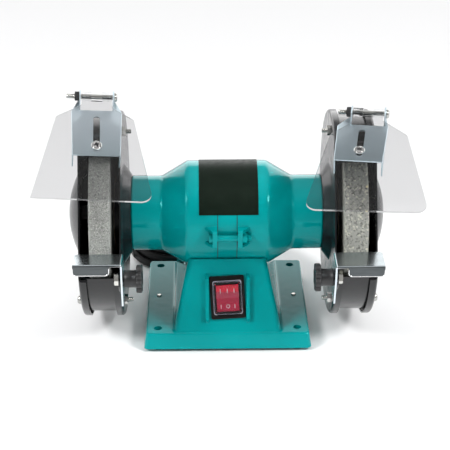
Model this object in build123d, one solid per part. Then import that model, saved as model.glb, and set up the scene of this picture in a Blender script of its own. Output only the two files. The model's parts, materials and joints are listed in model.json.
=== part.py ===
from build123d import *
import math
import os

os.makedirs("parts", exist_ok=True)

# ------------------------------------------------------------------
# Two-wheel bench grinder.  Millimetres.  +X right, +Y to the back,
# +Z up.  Origin: centre of the four base bolt holes, on the bench.
# "f" is the distance forward of the spindle axis (f = -Y) and "h" the
# height above the spindle axis.
# ------------------------------------------------------------------
AXIS_H = 94.0            # spindle axis above the bench

# base
FOOT_H = 3.0             # air gap under the skirt
PAD_Z = 16.0             # top of the bolting pads
SKIRT_W, SKIRT_D = 134.8, 127.4
TOP_W, TOP_D = 131.0, 123.4
WALL = 2.2
HOLE_X, HOLE_Y, HOLE_R = 56.2, 52.5, 3.25
PED_W0, PED_D0 = 43.3, 60.0     # pedestal half width and depth at PAD_Z
PED_W1, PED_D1 = 31.0, 37.0     # and at its top
PED_TOP = 70.4
SADDLE_R = 42.9

# motor
BODY_R, BODY_X = 42.4, 32.0
NECK_R, NECK_X0, NECK_X1 = 30.2, 52.4, 76.4
SEAM_X = 8.0
TIE_F = 46.7             # tie bolt, forward of the axis

# wheels
WHEEL_R = 75.0
WHEEL_X = 98.3
WHEEL_W_L, WHEEL_W_R = 16.5, 18.5
SHAFT_R = 6.35
BLOTTER = 0.5

# guards
GUARD_R = 83.0
SHEET = 1.2
GX0, GX1 = 82.4, 115.4   # outer faces of the two side walls
RIM = 6.0
BAND_R = 79.2
CHORD, CHORD_ANG = 63.0, 27.0
TAB_POS = [(72.6 * math.cos(math.radians(a)), 72.6 * math.sin(math.radians(a))) for a in (-45.0, 205.0)]
TAB_POS.insert(1, (2.5, 72.6))

# spark deflector brackets: screw at (x, f, h), slope, skew and roll of the
# plate, the screw's place b up the slot, the band's end, the hinge's offset
# ox, then the shield's tilt, shift, turn, half widths, top line and length
BR_L = dict(x=-100.0, f=40.5, h=76.1, slope=24.3, skew=2.15, roll=5.76, b=9.0, end=59.5, ox=-0.2,
            tilt=3.9, dx=-0.8, turn=-1.2, wt=29.6, wb=44.5, yt=27.4, ln=113.9,
            block=[(40.2, 68.2), (44.6, 73.4), (35.9, 77.4), (29.7, 73.4)])
BR_R = dict(x=99.8, f=51.4, h=75.1, slope=12.5, skew=-9.84, roll=-2.82, b=11.8, end=54.5, ox=3.6,
            tilt=-3.8, dx=0.7, turn=3.0, wt=29.2, wb=44.9, yt=30.2, ln=116.4,
            block=[(46.0, 64.5), (56.3, 73.2), (46.5, 75.4), (34.7, 71.2)])
BR_W0, BR_W1, BR_LEN, BR_T = 18.4, 19.7, 59.0, 1.0
PIN_B, PIN_N, PIN_R = 57.0, 6.0, 2.0

# tool rests
REST_F, REST_H = 88.0, -12.5
REST_TILT_L = 7.5
BOLT_R = 2.95

# mains lead
CORD_R = 3.3
COIL_C = (-41.0, 113.0)


# ------------------------------------------------------------------ helpers
def rad(a):
    return math.radians(a)


def cyl(p, d, r, length):
    pl = Plane(origin=p, z_dir=d)
    return pl.location * Cylinder(r, length, align=(Align.CENTER, Align.CENTER, Align.MIN))


def cyl_x(f, h, r, x0, x1):
    return cyl((x0, -f, AXIS_H + h), (1, 0, 0), r, x1 - x0)


def hex_x(f, h, af, x0, x1):
    pl = Plane(origin=(x0, -f, AXIS_H + h), x_dir=(0, 1, 0), z_dir=(1, 0, 0))
    return extrude(pl * RegularPolygon(af / 2 / math.cos(math.pi / 6), 6), amount=x1 - x0)


def block(x0, x1, y0, y1, z0, z1):
    return Pos((x0 + x1) / 2, (y0 + y1) / 2, (z0 + z1) / 2) * Box(x1 - x0, y1 - y0, z1 - z0)


def prism_x(pts, x0, x1):
    face = make_face(Polyline(*[(-a, AXIS_H + b) for a, b in pts], close=True))
    return extrude(Plane.YZ.offset(x0) * face, amount=x1 - x0)


def rev_x(pts):
    face = make_face(Polyline(*[(x, 0, r) for x, r in pts], close=True))
    return Pos(0, 0, AXIS_H) * revolve(face, Axis.X)


def flip(s):
    return mirror(s, about=Plane.YZ)


def ring_edges(s, x, r):
    out = []
    for e in s.edges().filter_by(GeomType.CIRCLE):
        if abs(e.radius - r) < 1e-3 and abs(e.arc_center.X - x) < 1e-3:
            out.append(e)
    return out


def save(name, *shapes):
    solids = []
    for s in shapes:
        solids += list(s.solids())
    shape = solids[0] if len(solids) == 1 else Compound(children=solids)
    export_step(shape, "parts/" + name + ".step")


# ------------------------------------------------------------------ base
def ped_half(z):
    k = (z - PAD_Z) / (PED_TOP - PAD_Z)
    return PED_W0 + (PED_W1 - PED_W0) * k, PED_D0 + (PED_D1 - PED_D0) * k


def rect_at(z, w, d, r):
    return Pos(0, 0, z) * RectangleRounded(2 * w, 2 * d, r)


FACE_LEN = math.hypot(PED_D0 - PED_D1, PED_TOP - PAD_Z)
FACE_T = ((PED_D0 - PED_D1) / FACE_LEN, (PED_TOP - PAD_Z) / FACE_LEN)
FACE = Plane(origin=(0, -PED_D1, PED_TOP), x_dir=(1, 0, 0), z_dir=(0, -FACE_T[1], FACE_T[0]))
SW_Y = -30.5             # switch centre, down the front face
SW_TURN = 3.0            # the switch sits a little askew on the face
SW_PL = Plane(origin=FACE.from_local_coords((0, SW_Y, 0)), x_dir=FACE.from_local_coords((math.cos(rad(SW_TURN)), math.sin(rad(SW_TURN)), 0)) - FACE.origin, z_dir=FACE.z_dir)


plinth = loft([rect_at(FOOT_H, SKIRT_W / 2, SKIRT_D / 2, 3.6), rect_at(PAD_Z, TOP_W / 2, TOP_D / 2, 2.8)])
plinth = fillet([e for e in plinth.edges() if abs(e.center().Z - PAD_Z) < 1e-3], 1.5)
w0, d0 = ped_half(12)
w1, d1 = ped_half(PED_TOP)
ped = loft([rect_at(12, w0, d0, 4), rect_at(PED_TOP, w1, d1, 4)])
shell = plinth + ped
foot_edges = [e for e in shell.edges() if abs(e.center().Z - PAD_Z) < 0.05 and abs(e.center().X) < 44.5 and abs(e.center().X) > 42 and e.length > 30]
shell = fillet(foot_edges, 2.5) if foot_edges else shell
for s in (-1, 1):
    pts = [(-51.3, -1.5), (-11.6, -1.5), (-11.6, 0), (-15.5, 3.8), (-47.8, 3.8), (-51.3, 0)]
    fin = extrude(Plane(origin=FACE.from_local_coords((s * 16.3 - 1.35, 0, 0)), x_dir=FACE.y_dir, z_dir=(1, 0, 0)) * make_face(Polyline(*pts, close=True)), amount=2.7)
    shell = shell + fin
shell = shell - cyl_x(0, 0, SADDLE_R, -60, 60)
wi0, di0 = ped_half(10)
hollow = loft([rect_at(1, SKIRT_W / 2 - WALL, SKIRT_D / 2 - WALL, 5), rect_at(PAD_Z - WALL, TOP_W / 2 - WALL - 0.4, TOP_D / 2 - WALL - 0.4, 4)])
hollow = hollow + loft([rect_at(10, wi0 - WALL, di0 - WALL - 0.2, 2.5), rect_at(PED_TOP, w1 - WALL, d1 - WALL - 0.2, 2.5)])
hollow = hollow - cyl_x(0, 0, SADDLE_R + WALL, -80, 80)
shell = shell - hollow
boss_z = 4.6
for sx in (-1, 1):
    for sy in (-1, 1):
        shell = shell + cyl((sx * HOLE_X, sy * HOLE_Y, boss_z), (0, 0, 1), 8, PAD_Z - WALL / 2 - boss_z)
        shell = shell - cyl((sx * HOLE_X, sy * HOLE_Y, 0), (0, 0, 1), HOLE_R, 30)
    shell = shell + cyl((sx * 56.3, 0, boss_z), (0, 0, 1), 4, PAD_Z - WALL / 2 - boss_z)
    shell = shell - cyl((sx * 56.3, 0, 0), (0, 0, 1), 1.1, 30)
    shell = shell - cyl((sx * 20, 0, 40), (0, 0, 1), 2.7, 20)
shell = shell - SW_PL.location * block(-11.1, 11.1, -13.6, 13.6, -6, 6)
shell = shell - cyl((0, 14, 40), (0, 0, 1), 4, 20)
GLAND = (8.0, 27.0)      # x and z of the lead's entry in the back wall
shell = shell - cyl((GLAND[0], 40, GLAND[1]), (0, 1, 0), 6.0, 30)
save("base_shell", shell)

plate = extrude(rect_at(3.4, 64.2, 60.5, 5), amount=1.2)
for sx in (-1, 1):
    for sy in (-1, 1):
        plate = plate - Pos(sx * 60.0, sy * 56.0, 4) * Box(26.0, 24.6, 8)
    plate = plate - cyl((sx * 56.3, 0, 0), (0, 0, 1), 1.1, 10)
for k in range(-3, 4):
    plate = plate - extrude(Pos(k * 9, -22, 0) * SlotOverall(26, 4, rotation=90), amount=10)
save("bottom_plate", plate)

rivets = []
for sx in (-1, 1):
    head = Pos(sx * 56.3, 0, PAD_Z) * (Cylinder(1.9, 1.0, align=(Align.CENTER, Align.CENTER, Align.MIN)))
    head = fillet(head.edges().filter_by(GeomType.CIRCLE).sort_by(Axis.Z)[-1:], 0.8)
    rv = head + cyl((sx * 56.3, 0, 3.4), (0, 0, 1), 1.05, 13) + cyl((sx * 56.3, 0, 2.6), (0, 0, 1), 2.2, 0.8)
    rivets.append(rv)
save("bottom_plate_rivets", *rivets)

feet = []
for sx in (-1, 1):
    for sy in (-1, 1):
        ft = cyl((sx * HOLE_X, sy * HOLE_Y, 0), (0, 0, 1), 7.8, boss_z)
        ft = fillet(ft.edges().filter_by(GeomType.CIRCLE).sort_by(Axis.Z)[:1], 0.8)
        feet.append(ft - cyl((sx * HOLE_X, sy * HOLE_Y, -1), (0, 0, 1), HOLE_R, 10))
save("rubber_feet", *feet)

# ------------------------------------------------------------------ switch
SWL = SW_PL.location
frame = SWL * (extrude(RectangleRounded(27.6, 34.5, 1.3), amount=2.6))
frame = fillet([e for e in frame.edges() if abs(SW_PL.to_local_coords(e.center()).Z - 2.6) < 1e-3], 0.9)
swbody = SWL * block(-10.9, 10.9, -13.3, 13.3, -22, 0.5)
swcut = SWL * block(-9.35, 9.35, -11.75, 11.75, -12, 5)
sw = frame + swbody - swcut
PIVOT_N = -4.5
sw = sw - (SWL * (Pos(-10.2, 0, PIVOT_N) * Rot(0, 90, 0) * Cylinder(1.56, 20.4, align=(Align.CENTER, Align.CENTER, Align.MIN))))
save("switch_housing", sw)

prof = [(-10.6, 3.4), (-4.2, 2.1), (0.0, 1.7), (4.2, 2.1), (10.6, 3.4), (10.9, 2.6), (10.4, -1.5), (6.0, -4.8), (3.0, -8.0), (-3.0, -8.0), (-6.0, -4.8), (-10.4, -1.5), (-10.9, 2.6)]
rk = extrude(Plane(origin=(-9.0, 0, 0), x_dir=(0, 1, 0), z_dir=(1, 0, 0)) * make_face(Polyline(*prof, close=True)), amount=18.0)
rk = rk + Pos(-10.0, 0, PIVOT_N) * Rot(0, 90, 0) * Cylinder(1.5, 20.0, align=(Align.CENTER, Align.CENTER, Align.MIN))
ROCK = 6.0
rk = Pos(0, 0, PIVOT_N) * Rot(ROCK, 0, 0) * Pos(0, 0, -PIVOT_N) * rk
save("switch_rocker", SWL * rk)

boot = extrude(Pos(0, 0, 2.6) * RectangleRounded(22.8, 27.0, 4.0), amount=4.6)
boot = fillet([e for e in boot.edges() if abs(e.center().Z - 7.2) < 1e-3], 2.2)
boot = boot - extrude(Pos(0, 0, 1.6) * RectangleRounded(21.2, 25.4, 3.2), amount=4.8)
save("switch_boot", SWL * boot)

terms = []
for x in (-5.5, 5.5):
    for y in (-8, 0, 8):
        terms.append(SWL * block(x - 0.4, x + 0.4, y - 2.4, y + 2.4, -30, -22))
save("switch_terminals", *terms)

cap_pl = (0, 16, 29)
cap = Pos(*cap_pl) * Rot(0, 90, 0) * Cylinder(13.5, 42)
cap = fillet(cap.edges().filter_by(GeomType.CIRCLE), 1.5)
for y in (-5, 5):
    cap = cap + block(20.5, 28, 16 + y - 2.4, 16 + y + 2.4, 28.6, 29.4)
save("run_capacitor", cap)
clamp = Pos(*cap_pl) * Rot(0, 90, 0) * (Cylinder(14.7, 10) - Cylinder(13.5, 10))
clamp = clamp + (block(-5, 5, 14, 18, 4.6, 15.6) - Pos(*cap_pl) * Rot(0, 90, 0) * Cylinder(13.5, 12))
clamp = clamp + block(-5, 5, 12, 30, 4.6, 6.0)
save("capacitor_clamp", clamp)

tb = block(-34, -10, -12, 2, 4.6, 17)
for x in (-29.5, -22, -14.5):
    tb = tb - cyl((x, -8.5, 9), (0, 0, 1), 2.0, 12) - cyl((x, -1.5, 9), (0, 0, 1), 2.0, 12) - cyl((x, -16, 10.5), (0, 1, 0), 1.6, 24)
save("terminal_block", tb)

# ------------------------------------------------------------------ motor
prof = [(SEAM_X, BODY_R), (BODY_X, BODY_R), (NECK_X0, NECK_R), (NECK_X1, NECK_R), (NECK_X1, 10), (74.5, 10), (74.5, 17.5), (61, 17.5), (61, 27.2), (50.8, 27.2), (30.5, 39.4), (SEAM_X, 39.4)]
bell = rev_x(prof)
bell = fillet(ring_edges(bell, BODY_X, BODY_R), 7)
bell = fillet(ring_edges(bell, NECK_X0, NECK_R), 7)
bell = fillet(ring_edges(bell, NECK_X1, NECK_R), 1.5)
for sf in (1, -1):
    lug = block(SEAM_X, 11.8, 40, 50.8, AXIS_H - 7.6, AXIS_H + 7.6)
    lug = fillet(lug.edges().filter_by(Axis.X), 1.6)
    for sz in (-1, 1):
        za, zb = sorted((AXIS_H + sz * 5.0, AXIS_H + sz * 7.4))
        rib = Plane.XY.offset(za) * make_face(Polyline((11.0, 40), (11.0, 50.0), (18.0, 41.5), (18.0, 40), close=True))
        lug = lug + extrude(rib, amount=zb - za)
    lug = lug - Pos(0, 0, AXIS_H) * (Rot(0, 90, 0) * Cylinder(41, 60))
    if sf == 1:
        lug = mirror(lug, about=Plane.XZ)
    bell = bell + lug - cyl_x(sf * TIE_F, 0, 2.6, 0, 30)
for k in range(3):
    a = rad(90 + 120 * k)
    bell = bell - cyl_x(22 * math.cos(a), 22 * math.sin(a), 2.05, 64, 80)
bell = bell - cyl((20, 0, 45), (0, 0, 1), 2.55, 14)
save("end_bell_right", bell)
save("end_bell_left", flip(bell))

core = rev_x([(-16, 22.3), (-16, 39.2), (-7.95, 39.2), (-7.95, 42.2), (7.95, 42.2), (7.95, 39.2), (16, 39.2), (16, 22.3)])
for k in range(12):
    a = rad(30 * k + 15)
    core = core - cyl_x(30 * math.cos(a), 30 * math.sin(a), 4.1, -20, 20)
save("stator_core", core)

wind = rev_x([(16.3, 25), (16.3, 36), (18, 37.3), (25, 37.3), (28, 34.5), (28, 28), (26, 25)])
wind = wind + flip(wind)
for k in range(12):
    a = rad(30 * k + 15)
    wind = wind + cyl_x(30 * math.cos(a), 30 * math.sin(a), 3.8, -17, 17)
save("stator_windings", wind)

ties, tnuts = [], []
for sf in (1, -1):
    ties.append(cyl_x(sf * TIE_F, 0, 2.45, -19.0, 11.8) + cyl_x(sf * TIE_F, 0, 3.6, 11.8, 14.8))
    tnuts.append(hex_x(sf * TIE_F, 0, 7.2, -15.6, -11.8) - cyl_x(sf * TIE_F, 0, 2.45, -30, 0))
ties = [flip(t) for t in ties]
tnuts = [flip(t) for t in tnuts]
save("tie_bolts", *ties)
save("tie_bolt_nuts", *tnuts)

GR = 3.05
outer = rev_x([(63, 14.6), (63, 17.5), (74, 17.5), (74, 14.6)])
inner = rev_x([(63, 7.5), (63, 10.4), (74, 10.4), (74, 7.5)])
groove = Pos(68.5, 0, AXIS_H) * Rot(0, 90, 0) * Torus(12.5, GR)
outer = outer - groove
inner = inner - groove
balls = []
for k in range(8):
    a = rad(45 * k)
    balls.append(Pos(68.5, 12.5 * math.cos(a), AXIS_H + 12.5 * math.sin(a)) * Sphere(2.98))
save("bearing_outer_races", outer, flip(outer))
save("bearing_inner_races", inner, flip(inner))
save("bearing_balls", *balls, *[flip(b) for b in balls])
wave = rev_x([(74.05, 13.2), (74.05, 17.3), (74.45, 17.3), (74.45, 13.2)])
save("bearing_wave_washer", wave)

mb = []
for sx in (-1, 1):
    mb.append(cyl((sx * 20, 0, 48.5), (0, 0, 1), 2.5, 7.5) + extrude(Pos(sx * 20, 0, 45.0) * RegularPolygon(4.6, 6), amount=3.75))
save("motor_mount_bolts", *mb)

lab = Pos(0, 0, AXIS_H) * (Rot(0, 90, 0) * (Cylinder(BODY_R + 0.4, 80) - Cylinder(BODY_R + 0.05, 80)))
pts = [(0, 0)] + [(70 * math.cos(rad(a)), 70 * math.sin(rad(a))) for a in (23, 55, 88, 120)]
lab = lab & prism_x(pts, -22.3, 24.5)
save("rating_plate", lab)

# ------------------------------------------------------------------ spindle
prof = [(0, 0), (0, 9), (24, 9), (24.5, 8.5), (63, 8.5), (63, 7.5), (77, 7.5), (77, SHAFT_R), (121.7, SHAFT_R), (122.5, SHAFT_R - 0.8), (122.5, 0)]
half = rev_x(prof)
save("spindle_shaft", half + flip(half))
rotor = rev_x([(-16, 9), (-16, 21.9), (16, 21.9), (16, 9)])
save("rotor_core", rotor)
er = rev_x([(16, 13), (16, 21.6), (20, 21.6), (20.8, 20.8), (20.8, 14), (20, 13)])
save("rotor_end_rings", er, flip(er))


def wheel_set(width):
    xi, xo = WHEEL_X - width / 2, WHEEL_X + width / 2
    whl = rev_x([(xi, SHAFT_R), (xi, WHEEL_R - 0.8), (xi + 0.8, WHEEL_R), (xo - 0.8, WHEEL_R), (xo, WHEEL_R - 0.8), (xo, SHAFT_R)])
    bi, bo = xi - BLOTTER, xo + BLOTTER
    b1 = rev_x([(bi, SHAFT_R), (bi, 30), (xi, 30), (xi, SHAFT_R)])
    b2 = rev_x([(xo, SHAFT_R), (xo, 30), (bo, 30), (bo, SHAFT_R)])
    f1 = rev_x([(77, SHAFT_R), (77, 9.5), (bi - 5, 10), (bi - 5, 17), (bi - 3.2, 25), (bi, 25), (bi, 17), (bi - 1, 16), (bi - 1, SHAFT_R)])
    f2 = rev_x([(bo, 25), (bo + 2.2, 25), (bo + 4, 18), (bo + 4, SHAFT_R), (bo + 1, SHAFT_R), (bo + 1, 16), (bo, 17)])
    nut = hex_x(0, 0, 19, bo + 4, bo + 11.5) - cyl_x(0, 0, SHAFT_R, 0, 140)
    return whl, b1, b2, f1, f2, nut


RS = wheel_set(WHEEL_W_R)
LS = [flip(s) for s in wheel_set(WHEEL_W_L)]
save("wheel_right", RS[0])
save("wheel_left", LS[0])
save("wheel_blotters", RS[1], RS[2], LS[1], LS[2])
save("inner_flanges", RS[3], LS[3])
save("outer_flanges", RS[4], LS[4])
save("wheel_nuts", RS[5], LS[5])

# ------------------------------------------------------------------ guards
cn = (math.cos(rad(CHORD_ANG)), math.sin(rad(CHORD_ANG)))
ct = (-cn[1], cn[0])
chord_pts = [(cn[0] * d + ct[0] * s, cn[1] * d + ct[1] * s) for d, s in ((CHORD, -150), (200, -150), (200, 150), (CHORD, 150))]
chord = prism_x(chord_pts, 60, 140)

gi = rev_x([(76.4, 14), (76.4, 31), (GX0, 40), (GX0, GUARD_R), (GX0 + RIM, GUARD_R), (GX0 + RIM, GUARD_R - SHEET), (GX0 + SHEET, GUARD_R - SHEET), (GX0 + SHEET, 39.4), (77.6, 30.3), (77.6, 14)])
gi = fillet(ring_edges(gi, GX0, GUARD_R), 2.4)
gi = fillet(ring_edges(gi, GX0 + SHEET, GUARD_R - SHEET), 1.2)
gi = gi - chord
ear = prism_x([(45, 10), (84.5, -3.6), (93, -6.2), (96, -10), (96, -15), (92.5, -19.5), (62, -45), (45, -30)], GX0, GX0 + SHEET)
gi = gi + ear
gi = gi - cyl_x(REST_F, REST_H, 3.05, 70, 100)
for k in range(3):
    a = rad(90 + 120 * k)
    gi = gi - cyl_x(22 * math.cos(a), 22 * math.sin(a), 2.2, 70, 90)
for f, h in TAB_POS:
    gi = gi - cyl_x(f, h, 2.1, 70, 100)
save("guard_inner_right", gi)
save("guard_inner_left", flip(gi))

DOME_H, DOME_R = 12.1, 40.0
dr = (DOME_R ** 2 + DOME_H ** 2) / (2 * DOME_H)
NECK_Q = 8.0             # radius where the dome runs into the flat wall
k = dr / (dr + NECK_Q)
r_f = math.sqrt(DOME_H * (2 * dr + 2 * NECK_Q - DOME_H))
r_t, x_t = r_f * k, (dr - DOME_H + NECK_Q) * k - (dr - DOME_H)
a_t = math.atan2(r_t, x_t + dr - DOME_H)
ang = (math.pi + a_t + math.pi) / 2


def xr(x, r):
    return (x, 0, r)


def dome_edges(x0):
    a1 = ThreePointArc(xr(x0 + DOME_H, 0), xr(x0 + DOME_H - dr + dr * math.cos(a_t / 2), dr * math.sin(a_t / 2)), xr(x0 + x_t, r_t))
    a2 = ThreePointArc(xr(x0 + x_t, r_t), xr(x0 + NECK_Q + NECK_Q * math.cos(ang), r_f + NECK_Q * math.sin(ang)), xr(x0, r_f))
    return [a1, a2]


c45 = math.sqrt(0.5)
xi = GX1 - SHEET
ri = GUARD_R - SHEET
prof = dome_edges(GX1) + dome_edges(xi)
prof += [
    Line(xr(GX1, r_f), xr(GX1, GUARD_R - 2.4)),
    ThreePointArc(xr(GX1, GUARD_R - 2.4), xr(GX1 - 2.4 + 2.4 * c45, GUARD_R - 2.4 + 2.4 * c45), xr(GX1 - 2.4, GUARD_R)),
    Line(xr(GX1 - 2.4, GUARD_R), xr(GX1 - RIM, GUARD_R)),
    Line(xr(GX1 - RIM, GUARD_R), xr(GX1 - RIM, ri)),
    Line(xr(GX1 - RIM, ri), xr(xi - 1.2, ri)),
    ThreePointArc(xr(xi - 1.2, ri), xr(xi - 1.2 + 1.2 * c45, ri - 1.2 + 1.2 * c45), xr(xi, ri - 1.2)),
    Line(xr(xi, ri - 1.2), xr(xi, r_f)),
    Line(xr(xi + DOME_H, 0), xr(GX1 + DOME_H, 0)),
]
gc = Pos(0, 0, AXIS_H) * revolve(make_face(prof), Axis.X)
gc = gc - chord
for f, h in TAB_POS:
    gc = gc - cyl_x(f, h, 2.1, 100, 130)
save("guard_cover_right", gc)
save("guard_cover_left", flip(gc))


def bracket_plane(br):
    # local x across, y up the plate, z out of it; origin at the plate's lower edge
    c, s = math.cos(rad(br["slope"])), math.sin(rad(br["slope"]))
    o = (br["x"], -br["f"] - br["b"] * c, AXIS_H + br["h"] - br["b"] * s)
    o = (o[0], o[1] + 0.5 * s, o[2] - 0.5 * c)
    pl = Plane(origin=o, x_dir=(1, 0, 0), z_dir=(0, -s, c))
    return pl.location * Pos(0, br["b"], 0.5) * Rot(0, 0, br["skew"]) * Rot(0, br["roll"], 0) * Pos(0, -br["b"], -0.5)


def guard_band(br, side):
    bd = rev_x([(GX0 + SHEET + 0.1, BAND_R - SHEET), (GX0 + SHEET + 0.1, BAND_R), (GX1 - SHEET - 0.1, BAND_R), (GX1 - SHEET - 0.1, BAND_R - SHEET)])
    e = br["end"]
    pts = [(0, 0)] + [(260 * math.cos(rad(a)), 260 * math.sin(rad(a))) for a in (-13.5, -13.5 + (e + 13.5) / 2, e)]
    bd = bd - prism_x(pts, 60, 140)
    for f, h in TAB_POS:
        a = math.degrees(math.atan2(h, f))
        for xa, xb in ((GX0 + SHEET, GX0 + 2 * SHEET), (GX1 - 2 * SHEET, GX1 - SHEET)):
            q = []
            for r_, w_ in ((67, -7), (78.3, -7), (78.3, 7), (67, 7)):
                q.append((r_ * math.cos(rad(a)) - w_ * math.sin(rad(a)), r_ * math.sin(rad(a)) + w_ * math.cos(rad(a))))
            bd = bd + (prism_x(q, xa, xb) - cyl_x(f, h, 2.1, 60, 140))
    if side < 0:
        bd = flip(bd)
    loc = bracket_plane(br)
    # seat for the deflector's screw, from the band up to just under the plate
    seat = prism_x(br["block"], br["x"] - 5, br["x"] + 5)
    seat = seat - loc * block(-40, 40, -40, 90, -0.3, 40)
    seat = seat - cyl_x(0, 0, BAND_R - SHEET / 2, -140, 140)
    bd = bd + seat
    bd = bd - loc * (Pos(0, br["b"], -8.3) * Cylinder(2.02, 20, align=(Align.CENTER, Align.CENTER, Align.MIN)))
    return bd


save("guard_band_right", guard_band(BR_R, 1))
save("guard_band_left", guard_band(BR_L, -1))


def pan_x(f, h, r, x0, x1):
    hd = cyl_x(f, h, r, min(x0, x1), max(x0, x1))
    e = [e for e in hd.edges().filter_by(GeomType.CIRCLE) if abs(e.arc_center.X - x1) < 1e-3]
    return fillet(e, abs(x1 - x0) * 0.5)


gms = []
for k in range(3):
    a = rad(90 + 120 * k)
    f, h = 22 * math.cos(a), 22 * math.sin(a)
    gms.append(pan_x(f, h, 4.0, 77.6, 80.2) + cyl_x(f, h, 2.0, 66, 78))
save("guard_mount_screws", *gms, *[flip(s) for s in gms])

gb, gn = [], []
for f, h in TAB_POS:
    gb.append(pan_x(f, h, 3.6, GX0 + 2 * SHEET, GX0 + 2 * SHEET + 2.2) + cyl_x(f, h, 1.95, 75.2, GX0 + 2 * SHEET + 0.5))
    gn.append(hex_x(f, h, 7, GX0 - 3.2, GX0) - cyl_x(f, h, 1.95, 60, 100))
    gb.append(pan_x(f, h, 3.6, GX1, GX1 + 4.4) + cyl_x(f, h, 1.95, 108.9, GX1 + 0.5))
    gn.append(hex_x(f, h, 7, GX1 - 2 * SHEET - 3.0, GX1 - 2 * SHEET) - cyl_x(f, h, 1.95, 100, 120))
save("guard_bolts", *gb, *[flip(s) for s in gb])
save("guard_nuts", *gn, *[flip(s) for s in gn])

# ------------------------------------------------------------------ spark deflector brackets
def bracket(ox):
    w0, w1, t = BR_W0, BR_W1, BR_T
    outline = [(-w0, 0), (w0, 0), (w1, 45), (13.5 + ox, BR_LEN), (-13.5 + ox, BR_LEN), (-w1, 45)]
    pl = extrude(make_face(Polyline(*outline, close=True)), amount=t)
    pl = pl - extrude(Pos(0, 23.25, -1) * SlotCenterToCenter(28.5, 5.2, rotation=90), amount=4)
    pl = pl - block(-12.45 + ox, 12.45 + ox, 46.5, 70, -1, 2)
    g = (w1 - w0) / 45
    for s in (-1, 1):
        side = Plane(origin=(s * w0, 0, 0), x_dir=(s * g, 1, 0), z_dir=(1, -s * g, 0))
        fl = side * make_face(Polyline((0, t), (15, t), (15, -1.0), (11, -4.2), (3.0, -10.6), (1.5, -12.5), (0, -12.5), close=True))
        pl = pl + extrude(fl, amount=-s * t)
        e = Plane(origin=(s * 13.0 - 0.5 + ox, 0, 0), x_dir=(0, 1, 0), z_dir=(1, 0, 0)) * make_face(
            Polyline((46.5, 0.2), (46.5, 1.0), (52.0, 8.6), (54.6, 10.4), (59.4, 10.4), (61.8, 8.0), (61.8, 4.0), (58.9, 0.2), close=True))
        pl = pl + extrude(e, amount=1.0)
    bends = [e for e in pl.edges() if abs(e.center().Z - t) < 1e-3 and 5 < e.center().Y < 40 and abs(abs(e.center().X) - w0 - g * e.center().Y) < 0.02 and e.length > 10]
    pl = fillet(bends, 0.9)
    pl = pl - Pos(-25 + ox, PIN_B, PIN_N) * Rot(0, 90, 0) * Cylinder(PIN_R + 0.06, 50, align=(Align.CENTER, Align.CENTER, Align.MIN))
    return pl


def hinge_bolt():
    b = Pos(-23.7, PIN_B, PIN_N) * Rot(0, 90, 0) * Cylinder(PIN_R, 37.3, align=(Align.CENTER, Align.CENTER, Align.MIN))
    hd = Pos(13.5, PIN_B, PIN_N) * Rot(0, 90, 0) * Cylinder(3.6, 2.6, align=(Align.CENTER, Align.CENTER, Align.MIN))
    hd = fillet(hd.edges().filter_by(GeomType.CIRCLE).sort_by(Axis.X)[-1:], 1.2)
    return b + hd


def hinge_nut():
    n = Plane(origin=(-17.1, PIN_B, PIN_N), x_dir=(0, 1, 0), z_dir=(1, 0, 0)) * RegularPolygon(4.04, 6)
    n = extrude(n, amount=3.6)
    return n - Pos(-30, PIN_B, PIN_N) * Rot(0, 90, 0) * Cylinder(PIN_R, 40, align=(Align.CENTER, Align.CENTER, Align.MIN))


def eye_shield(br, sharp):
    # local: x along the pin, -y outward along the sheet, z above
    c, s = math.cos(rad(br["turn"])), math.sin(rad(br["turn"]))

    def q(x, y):
        x += br["dx"]
        return (x * c - y * s, x * s + y * c)

    pts = [(-11.8, 0), (-11.8, -12.5), q(-13.5, -15.5), q(-br["wt"], -br["yt"]), q(-br["wb"], -br["ln"]),
           q(br["wb"], -br["ln"]), q(br["wt"], -br["yt"]), q(13.5, -15.5), (11.8, -12.5), (11.8, 0)]
    sk = make_face(Polyline(*pts, close=True))
    vs = [v for v in sk.vertices() if v.Y < -100 and (not sharp or v.X > 0)]
    sk = fillet(vs, 8)
    vs = [v for v in sk.vertices() if -40 < v.Y < -20]
    sk = fillet(vs, 3)
    sh = Pos(0, 0, 1.4) * extrude(sk, amount=1.5)
    sh = sh + Pos(-11.8, 0, 0) * Rot(0, 90, 0) * Cylinder(3.6, 23.6, align=(Align.CENTER, Align.CENTER, Align.MIN))
    sh = sh - block(-4.2, 4.2, -7.5, 6, -6, 8)
    sh = sh - Pos(-30, 0, 0) * Rot(0, 90, 0) * Cylinder(PIN_R + 0.06, 60, align=(Align.CENTER, Align.CENTER, Align.MIN))
    return sh


sc = []
for name, br in (("left", BR_L), ("right", BR_R)):
    loc = bracket_plane(br)
    ox = br["ox"]
    save("spark_arrestor_" + name, loc * bracket(ox))
    save("hinge_bolt_" + name, loc * Pos(ox, 0, 0) * hinge_bolt())
    save("hinge_nut_" + name, loc * Pos(ox, 0, 0) * hinge_nut())
    pin = loc * Pos(ox, PIN_B, PIN_N) * Rot(-br["tilt"], 0, 0)
    save("eye_shield_" + name, pin * eye_shield(br, name == "left"))
    hd = Pos(0, br["b"], BR_T + 0.3) * Cylinder(4.4, 2.5, align=(Align.CENTER, Align.CENTER, Align.MIN))
    hd = fillet(hd.edges().filter_by(GeomType.CIRCLE).sort_by(Axis.Z)[-1:], 1.4)
    hd = hd + Pos(0, br["b"], -7.0) * Cylinder(2.0, 9, align=(Align.CENTER, Align.CENTER, Align.MIN))
    sc.append(loc * hd)
save("arrestor_screws", *sc)

# ------------------------------------------------------------------ tool rests
REST_X0, REST_X1, REST_T = 80.3, 117.4, 1.3


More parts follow.
